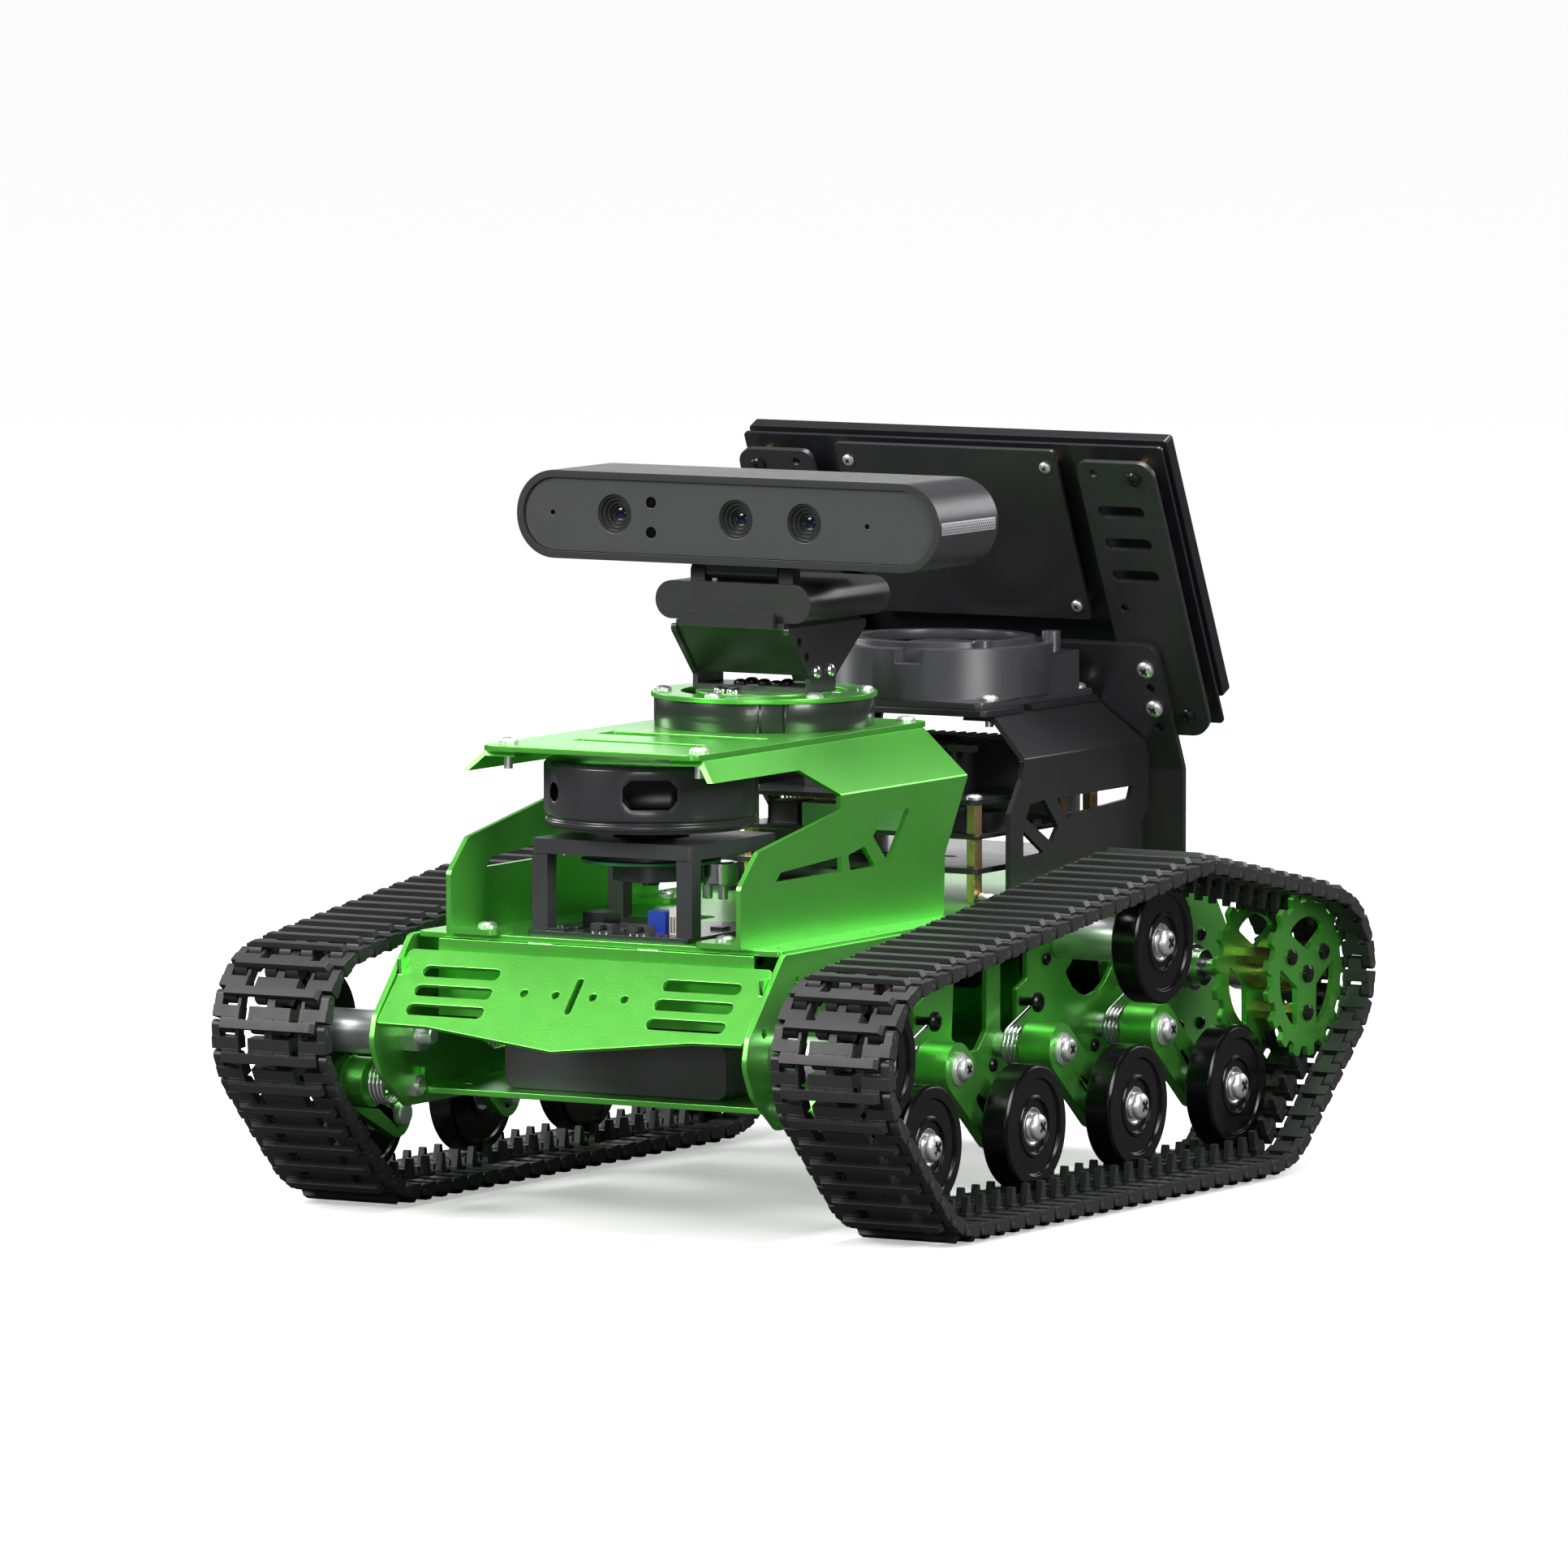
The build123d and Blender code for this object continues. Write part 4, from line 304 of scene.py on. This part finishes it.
CUT = {
    "silver_screws": cross_cutter("cutter_silver", silver, "chassis", 1),
    "black_screws": cross_cutter("cutter_black", black, "chassis", 1),
    "axle_bolts": cross_cutter("cutter_axles", axles, "chassis", 1),
}
for s, sx in (("right", 1), ("left", -1)):
    for i in range(4):
        CUT["arm_%s_%d" % (s, i + 1)] = cross_cutter("cutter_arm_%s_%d" % (s, i + 1), [(P(sx * 115.8, ROAD_Y[i], HUB_Z), (sx, 0, 0), 0.0026, 0.0017)], "arm_%s_%d" % (s, i + 1), 2)

paint("camera_bracket", [BLACKANO, STEEL], lambda x, y, z, nn: 1 if abs(x) > 23.02 else 0)
WIDTH = {"track_right": 0.00016, "track_left": 0.00016, "track_pins": 0, "control_board": 0.00012, "power_switch_lever": 0.0001, "mode_switch_lever": 0.0001,
         "silver_screws": 0, "black_screws": 0, "axle_bolts": 0, "torsion_springs": 0, "camera_lenses": 0.0001, "camera_bar": 0.0005, "camera_front_panel": 0.00025,
         "camera_base": 0.0005, "battery_pack": 0.0008, "lidar_head": 0.0003, "lidar_stand": 0.0004, "heat_sink": 0.00015, "display_module": 0.0003, "brass_standoffs": 0.00015,
         "blower_housing": 0.0003, "blower_rotor": 0.00012, "turntable_housing": 0.0002, "idler_sleeves": 0.0003}
for n, o in N.items():
    wd = WIDTH.get(n, 0.00024)
    if n in ("camera_bracket", "sprocket_right", "sprocket_left"):   # their bolts share corners with the holes, so they keep the CAD normals
        continue
    if n.startswith("road_wheel") or "idler_" in n and n != "idler_sleeves":
        wd = 0.0002
    dress(o, wd, 2, CUT.get(n))


# ------------------------------------------------------------------ small mesh builders
def piece(name, bm, m, body, bevel=0.0, mats=None):
    bmesh.ops.recalc_face_normals(bm, faces=bm.faces[:])
    me = bpy.data.meshes.new(name); bm.to_mesh(me); bm.free()
    for q in (mats or [m]):
        me.materials.append(q)
    o = bpy.data.objects.new(name, me); bpy.context.scene.collection.objects.link(o)
    if bevel:
        v = o.modifiers.new("bevel", "BEVEL"); v.width = bevel; v.segments = 2; v.limit_method = "ANGLE"; v.angle_limit = math.radians(38)
    o.modifiers.new("smooth", "NODES").node_group = SMOOTH
    if bevel:
        w = o.modifiers.new("weighted", "WEIGHTED_NORMAL"); w.keep_sharp = True
    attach(o, body)
    return o


def block(bm, x0, x1, y0, y1, z0, z1, mi=0, taper=0.0):
    """chamfer-ready block with slightly drawn-in top, as a moulded part has"""
    t = taper
    lo = [bm.verts.new(P(x, y, z0)) for x, y in ((x0, y0), (x1, y0), (x1, y1), (x0, y1))]
    hi = [bm.verts.new(P(x, y, z1)) for x, y in ((x0 + t, y0 + t), (x1 - t, y0 + t), (x1 - t, y1 - t), (x0 + t, y1 - t))]
    fs = [bm.faces.new(list(reversed(lo))), bm.faces.new(hi)]
    for i in range(4):
        j = (i + 1) % 4
        fs.append(bm.faces.new((lo[i], lo[j], hi[j], hi[i])))
    for f in fs: f.material_index = mi


def lathe(bm, prof, origin, axis, seg=48, mi=0):
    """profile (distance along the axis, radius) in millimetres, closed at both ends"""
    axis = Vector(axis).normalized(); u = axis.orthogonal().normalized(); v = axis.cross(u)
    rings = []
    for h, r in prof:
        c = origin + axis * (h / 1000.0)
        rings.append([bm.verts.new(c + (u * math.cos(2 * math.pi * k / seg) + v * math.sin(2 * math.pi * k / seg)) * (r / 1000.0)) for k in range(seg)])
    fs = [bm.faces.new(list(reversed(rings[0]))), bm.faces.new(rings[-1])]
    for a, b in zip(rings, rings[1:]):
        for k in range(seg):
            j = (k + 1) % seg
            fs.append(bm.faces.new((a[k], a[j], b[j], b[k])))
    for f in fs: f.material_index = mi


def tube(bm, pts, r, seg=14):
    """round wire through points, with capped ends; frame carried along the wire"""
    n = len(pts)
    tan = [(pts[min(i + 1, n - 1)] - pts[max(i - 1, 0)]).normalized() for i in range(n)]
    u = tan[0].orthogonal().normalized(); prev = None; first = None
    for i in range(n):
        u = (u - tan[i] * u.dot(tan[i])).normalized(); v = tan[i].cross(u)
        ringv = [bm.verts.new(pts[i] + (u * math.cos(2 * math.pi * k / seg) + v * math.sin(2 * math.pi * k / seg)) * r) for k in range(seg)]
        if prev:
            for k in range(seg):
                j = (k + 1) % seg
                bm.faces.new((prev[k], prev[j], ringv[j], ringv[k]))
        else:
            first = ringv
        prev = ringv
    bm.faces.new(list(reversed(first))); bm.faces.new(prev)


# torsion springs: wound wire round each pivot, one leg to the hook screw, the other tucked against the arm boss
bm = bmesh.new()
for sx in (-1, 1):
    for i, (py, pz) in enumerate(PIVOTS):
        rm, rw = 0.0066, 0.0007
        hy, hz = HOOKS[i]
        d = math.atan2(hz - pz, hy - py); Ld = math.hypot(hy - py, hz - pz)
        side = 1 if i else -1
        a0 = d + side * math.acos(6.6 / Ld)
        ty, tz = py + 6.6 * math.cos(a0), pz + 6.6 * math.sin(a0)
        pts = []
        for k in range(5, -1, -1):
            f = k / 5.0 * 0.80
            pts.append(P(sx * 78.1, ty + (hy - ty) * f, tz + (hz - tz) * f))
        turns, steps = 4.0, 128
        for k in range(1, steps + 1):
            a = a0 + side * 2 * math.pi * turns * k / steps
            pts.append(P(sx * (78.1 + 6.2 * k / steps), py + 6.6 * math.cos(a), pz + 6.6 * math.sin(a)))
        tube(bm, pts, rw)
springs = piece("spring_wires", bm, STEEL, "chassis")
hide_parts("torsion_springs")

# lens domes in the bottom of the stepped rings
bm = bmesh.new()
for x, z in ((-44.6, 231.8), (2.9, 231.6), (29.5, 231.2)):
    lathe(bm, [(0, 2.0), (0.10, 1.97), (0.24, 1.8), (0.36, 1.45), (0.44, 0.97), (0.48, 0.45), (0.49, 0.05)], P(x, -37.1, z), (0, -1, 0), 40)
piece("lens_domes", bm, GLASS, "camera_head")

# perforated grille along each end of the camera housing; its holes are dark discs laid on the strips, painted shade
# standing for the openings
bm = bmesh.new()
for sx in (-1, 1):
    ang = [math.radians(a) for a in (-8, -5.3, -2.7, 0, 2.7, 5.3, 8)]
    for i in range(len(ang) - 1):
        q = []
        for a, y in ((ang[i], -41.2), (ang[i + 1], -41.2), (ang[i + 1], -4.4), (ang[i], -4.4)):
            q.append(P(sx * (67.5 + 15.06 * math.cos(a)), y, 231.0 + 15.06 * math.sin(a)))
        f = bm.faces.new([bm.verts.new(p) for p in q]); f.material_index = 0
    for row, a in enumerate((-5.2, -1.8, 1.8, 5.2)):
        for k in range(26):
            y = -40.4 + 1.38 * k + (0.69 if row % 2 else 0)
            a0 = math.radians(a)
            c = P(sx * (67.5 + 15.10 * math.cos(a0)), y, 231.0 + 15.10 * math.sin(a0))
            t = Vector((-sx * math.sin(a0), 0, math.cos(a0))) * 0.00028; e = Vector((0, 0.00028, 0))
            f = bm.faces.new([bm.verts.new(c + t * math.cos(2 * math.pi * j / 8) + e * math.sin(2 * math.pi * j / 8)) for j in range(8)]); f.material_index = 1
piece("camera_grille", bm, WHITEP, "camera_head", mats=[SLEEVE, LENSRING])

# control board: switch legs, small parts, connector pins
bm = bmesh.new()
for cx in (-2.8, 11.7):
    for k in (-2.6, 0, 2.6):
        block(bm, cx + k - 0.35, cx + k + 0.35, -121.7, -120.55, 97.9, 98.5, 1)
for x, y, w, d, h in ((-24, -108, 3.2, 1.6, 0.7), (-18, -110, 1.6, 3.2, 0.7), (-10, -112, 2.0, 1.2, 0.6), (20, -98, 3.0, 3.0, 0.9), (-2, -108, 1.6, 0.9, 0.5), (3, -108, 1.6, 0.9, 0.5), (24, -88, 5, 5, 1.0), (-24, -84, 6, 4, 1.2), (9, -84, 4, 4, 1.0), (-27, -118, 1.6, 0.9, 0.5), (21, -118, 1.6, 0.9, 0.5), (19, -120, 1.6, 0.9, 0.5)):
    block(bm, x - w / 2, x + w / 2, y - d / 2, y + d / 2, 97.85, 97.9 + h, 0, 0.08)
for k in range(4):
    block(bm, 19.0 + 1.1 * k, 19.4 + 1.1 * k, -112.35, -112.0, 98.6, 104.0, 2)
piece("board_parts", bm, PCB, "chassis", bevel=0.00006, mats=[LENSRING, STEEL, GOLD])

# lidar underside: driver board and belt motor
bm = bmesh.new()
lathe(bm, [(0, 23.2), (0.15, 23.5), (1.0, 23.5), (1.15, 23.2)], P(0, -92.7, 120.2), (0, 0, 1), 72, 0)
lathe(bm, [(0, 5.6), (0.4, 6.0), (7.0, 6.0), (7.3, 5.7), (7.3, 4.6), (7.6, 4.4)], P(19.5, -80.0, 112.4), (0, 0, 1), 40, 1)
lathe(bm, [(0, 1.5), (0.2, 1.7), (4.6, 1.7), (4.8, 1.5)], P(16.5, -83.5, 107.6), (0, 0, 1), 24, 1)
lathe(bm, [(0, 1.5), (0.2, 1.7), (4.6, 1.7), (4.8, 1.5)], P(22.5, -83.5, 107.6), (0, 0, 1), 24, 1)
piece("lidar_underside", bm, PCBGREEN, "chassis", mats=[PCBGREEN, STEEL])

# screws on the pan disc and bracket floor
def pan_head(bm, o, r, h, mi=0):
    lathe(bm, [(0, r), (h * 0.35, r), (h * 0.6, r * 0.93), (h * 0.82, r * 0.76), (h * 0.95, r * 0.52), (h, r * 0.28)], o, (0, 0, 1), 40, mi)
    # the cross on the head is two dark quads laid on top, painted shade standing for the recess
    a, w = r * 0.55, r * 0.15
    for p, q in ((a, w), (w, a)):
        z = h / 1000 + 0.00002
        f = bm.faces.new([bm.verts.new(o + Vector((sx * p / 1000, sy * q / 1000, z))) for sx, sy in ((-1, -1), (1, -1), (1, 1), (-1, 1))]); f.material_index = 2


bm = bmesh.new()
for x, y in ((-7, -13.5), (7, -13.5), (-7, -21.2), (7, -21.2), (0, -17.3)):
    pan_head(bm, P(x, y, 174.2), 2.3, 1.7, 0)
for x, y in ((-9.0, -31.0), (-2.5, -33.5), (9.0, -4.0)):
    pan_head(bm, P(x, y, 172.2), 2.4, 1.7, 1)
piece("pan_disc_screws", bm, BLACKSCREW, "camera_pan", mats=[BLACKSCREW, STEEL, LENSRING])

# screen glass on the operator's side of the display
bm = bmesh.new()
def rr(w0, w1, s0, s1, t, rad=1.6, n=6):
    out = []
    for cx, cs, a0 in ((w1 - rad, s0 + rad, -90), (w1 - rad, s1 - rad, 0), (w0 + rad, s1 - rad, 90), (w0 + rad, s0 + rad, 180)):
        for k in range(n + 1):
            a = math.radians(a0 + 90 * k / n)
            out.append(disp(cx + rad * math.cos(a), cs + rad * math.sin(a), t))
    return out
va = [bm.verts.new(p) for p in rr(-77.5, 77.5, 6.0, 94.0, -0.06)]; bm.faces.new(va)
vb = [bm.verts.new(p) for p in rr(-77.7, 77.7, 5.8, 94.2, 0.01)]
for i in range(len(va)):
    j = (i + 1) % len(va); bm.faces.new((va[i], va[j], vb[j], vb[i]))
bm.faces.new(list(reversed(vb)))
piece("screen_glass", bm, SCREENGLASS, "chassis")

# computer board: pin header, chips, passives
bm = bmesh.new()
block(bm, -47.0, -42.8, 72.0, 120.0, 119.55, 122.2, 0, 0.1)
for k in range(18):
    for c in (-45.9, -43.9):
        block(bm, c - 0.3, c + 0.3, 73.2 + 2.6 * k - 0.3, 73.2 + 2.6 * k + 0.3, 122.0, 127.5, 1, 0.08)
for x, y, w, d, h in ((40, 96, 6, 6, 1.2), (41, 112, 8, 5, 1.4), (40, 84, 4, 7, 1.0), (-36, 80, 4, 4, 1.0), (-36, 100, 5, 5, 1.2), (10, 64, 8, 4, 1.2)):
    block(bm, x - w / 2, x + w / 2, y - d / 2, y + d / 2, 119.5, 119.6 + h, 0, 0.1)
piece("computer_parts", bm, LENSRING, "chassis", bevel=0.00006, mats=[LENSRING, GOLD])

# camera base: inset panel on each end
bm = bmesh.new()
for sx in (-1, 1):
    outer = []
    for a in range(-50, 51, 10):
        outer.append(math.radians(a))
    for a, b in zip(outer, outer[1:]):
        q = [P(sx * (23.72 + 6.54 * math.cos(g)), y, 203.4 + 6.54 * math.sin(g)) for g, y in ((a, -30.0), (b, -30.0), (b, 12.0), (a, 12.0))]
        bm.faces.new([bm.verts.new(p) for p in q])
bmesh.ops.remove_doubles(bm, verts=bm.verts[:], dist=1e-6)
piece("base_end_panels", bm, LENSRING, "camera_pan")

# deck: folded front flange behind the slanted plate
bm = bmesh.new()
block(bm, -61.0, 61.0, -129.4, -128.4, 68.5, 94.3, 0)
piece("deck_front_flange", bm, GREEN, "chassis", bevel=0.0002)

# tilt hinge: a dark strip between the knuckles, painted shade filling the gap there; it sits clear of the tongue as it
# turns
bm = bmesh.new()
block(bm, -13.6, 13.6, -25.9, -25.2, 209.6, 212.4, 0, 0.05)
piece("hinge_gap_shade_strip", bm, LENSRING, "camera_pan", bevel=0.0001)

# ------------------------------------------------------------------ stage, light, camera
bm = bmesh.new()
bm.faces.new([bm.verts.new(Vector((38 * math.cos(math.radians(a)), 38 * math.sin(math.radians(a)), -0.0004))) for a in range(0, 360, 6)])
me = bpy.data.meshes.new("floor"); bm.to_mesh(me); bm.free()
floor = bpy.data.objects.new("floor", me); bpy.context.scene.collection.objects.link(floor)
fm = mat("floor_white", (0.90, 0.90, 0.90), 0.0, 0.6, None, 0.01, 0.02, spec=0.2)
fn, fl = fm.node_tree.nodes, fm.node_tree.links     # the studio lights fall off away from the object; a soft glow keeps the far floor as pale as the near floor
ft = fn.new("ShaderNodeTexCoord"); fv = fn.new("ShaderNodeVectorMath"); fv.operation = "LENGTH"; fl.new(ft.outputs["Object"], fv.inputs[0])
fr = fn.new("ShaderNodeMapRange"); fr.interpolation_type = "SMOOTHSTEP"
fr.inputs["From Min"].default_value = 0.30; fr.inputs["From Max"].default_value = 2.2; fr.inputs["To Min"].default_value = 0.40; fr.inputs["To Max"].default_value = 0.90
fl.new(fv.outputs["Value"], fr.inputs["Value"]); fl.new(fr.outputs["Result"], fn["Principled BSDF"].inputs["Emission Strength"])
fn["Principled BSDF"].inputs["Emission Color"].default_value = (1, 1, 1, 1)
fd = fn.new("ShaderNodeBsdfDiffuse"); fd.inputs["Color"].default_value = (0.10, 0.10, 0.10, 1)
fp = fn.new("ShaderNodeLightPath"); fx = fn.new("ShaderNodeMixShader")
fl.new(fp.outputs["Is Camera Ray"], fx.inputs[0]); fl.new(fd.outputs[0], fx.inputs[1]); fl.new(fn["Principled BSDF"].outputs[0], fx.inputs[2]); fl.new(fx.outputs[0], fn["Material Output"].inputs["Surface"])
me.materials.append(fm)

AZ, EL = math.radians(30.043), math.radians(5.204)
right = Vector((math.cos(AZ), math.sin(AZ), 0)); back = Vector((math.sin(AZ) * math.cos(EL), -math.cos(AZ) * math.cos(EL), math.sin(EL))); up = back.cross(right)
cd = bpy.data.cameras.new("camera"); cd.lens = 330.38; cd.sensor_width = 36.0; cd.clip_end = 120
cam = bpy.data.objects.new("camera", cd); bpy.context.scene.collection.objects.link(cam)
M = Matrix((right, up, back)).transposed().to_4x4(); M.translation = Vector((2.4391, -4.2305, 0.5827)); cam.matrix_world = M
bpy.context.scene.camera = cam


def area(name, pos, target, sx, sy, power, color=(1, 1, 1)):
    l = bpy.data.lights.new(name, "AREA"); l.shape = "RECTANGLE"; l.size = sx; l.size_y = sy; l.energy = power; l.color = color
    o = bpy.data.objects.new(name, l); bpy.context.scene.collection.objects.link(o)
    o.visible_camera = False
    o.location = pos; o.rotation_euler = (Vector(target) - Vector(pos)).to_track_quat("-Z", "Y").to_euler()
    return o


area("key", (-0.75, -1.15, 0.95), (0, -0.02, 0.10), 0.55, 0.8, 22)
area("top", (0.10, 0.15, 1.25), (0, 0, 0.1), 0.75, 1.0, 22)
area("side", (1.25, -0.45, 0.85), (0, 0, 0.08), 0.45, 0.9, 19)
area("back_right", (0.66, 1.50, 0.74), (0, 0, 0.12), 0.8, 0.55, 7.5)
area("back_left", (-0.95, 1.55, 0.42), (0, 0, 0.12), 0.8, 0.40, 1.8)
area("left_side", (-1.30, 0.15, 0.70), (0, 0, 0.08), 0.4, 0.8, 10)
area("low_front", (0.55, -1.45, 0.30), (0, -0.1, 0.06), 0.5, 0.25, 3)
w = bpy.data.worlds.new("studio"); bpy.context.scene.world = w; w.use_nodes = True
nt = w.node_tree; bg = nt.nodes["Background"]; bg.inputs["Color"].default_value = (1, 1, 1, 1); bg.inputs["Strength"].default_value = 0.075
bg2 = nt.nodes.new("ShaderNodeBackground"); bg2.inputs["Color"].default_value = (1.0, 1.0, 1.0, 1); bg2.inputs["Strength"].default_value = 0.98
lp = nt.nodes.new("ShaderNodeLightPath"); mxs = nt.nodes.new("ShaderNodeMixShader")
nt.links.new(lp.outputs["Is Camera Ray"], mxs.inputs[0]); nt.links.new(bg.outputs[0], mxs.inputs[1]); nt.links.new(bg2.outputs[0], mxs.inputs[2]); nt.links.new(mxs.outputs[0], nt.nodes["World Output"].inputs["Surface"])
bpy.context.scene.view_settings.view_transform = "Standard"
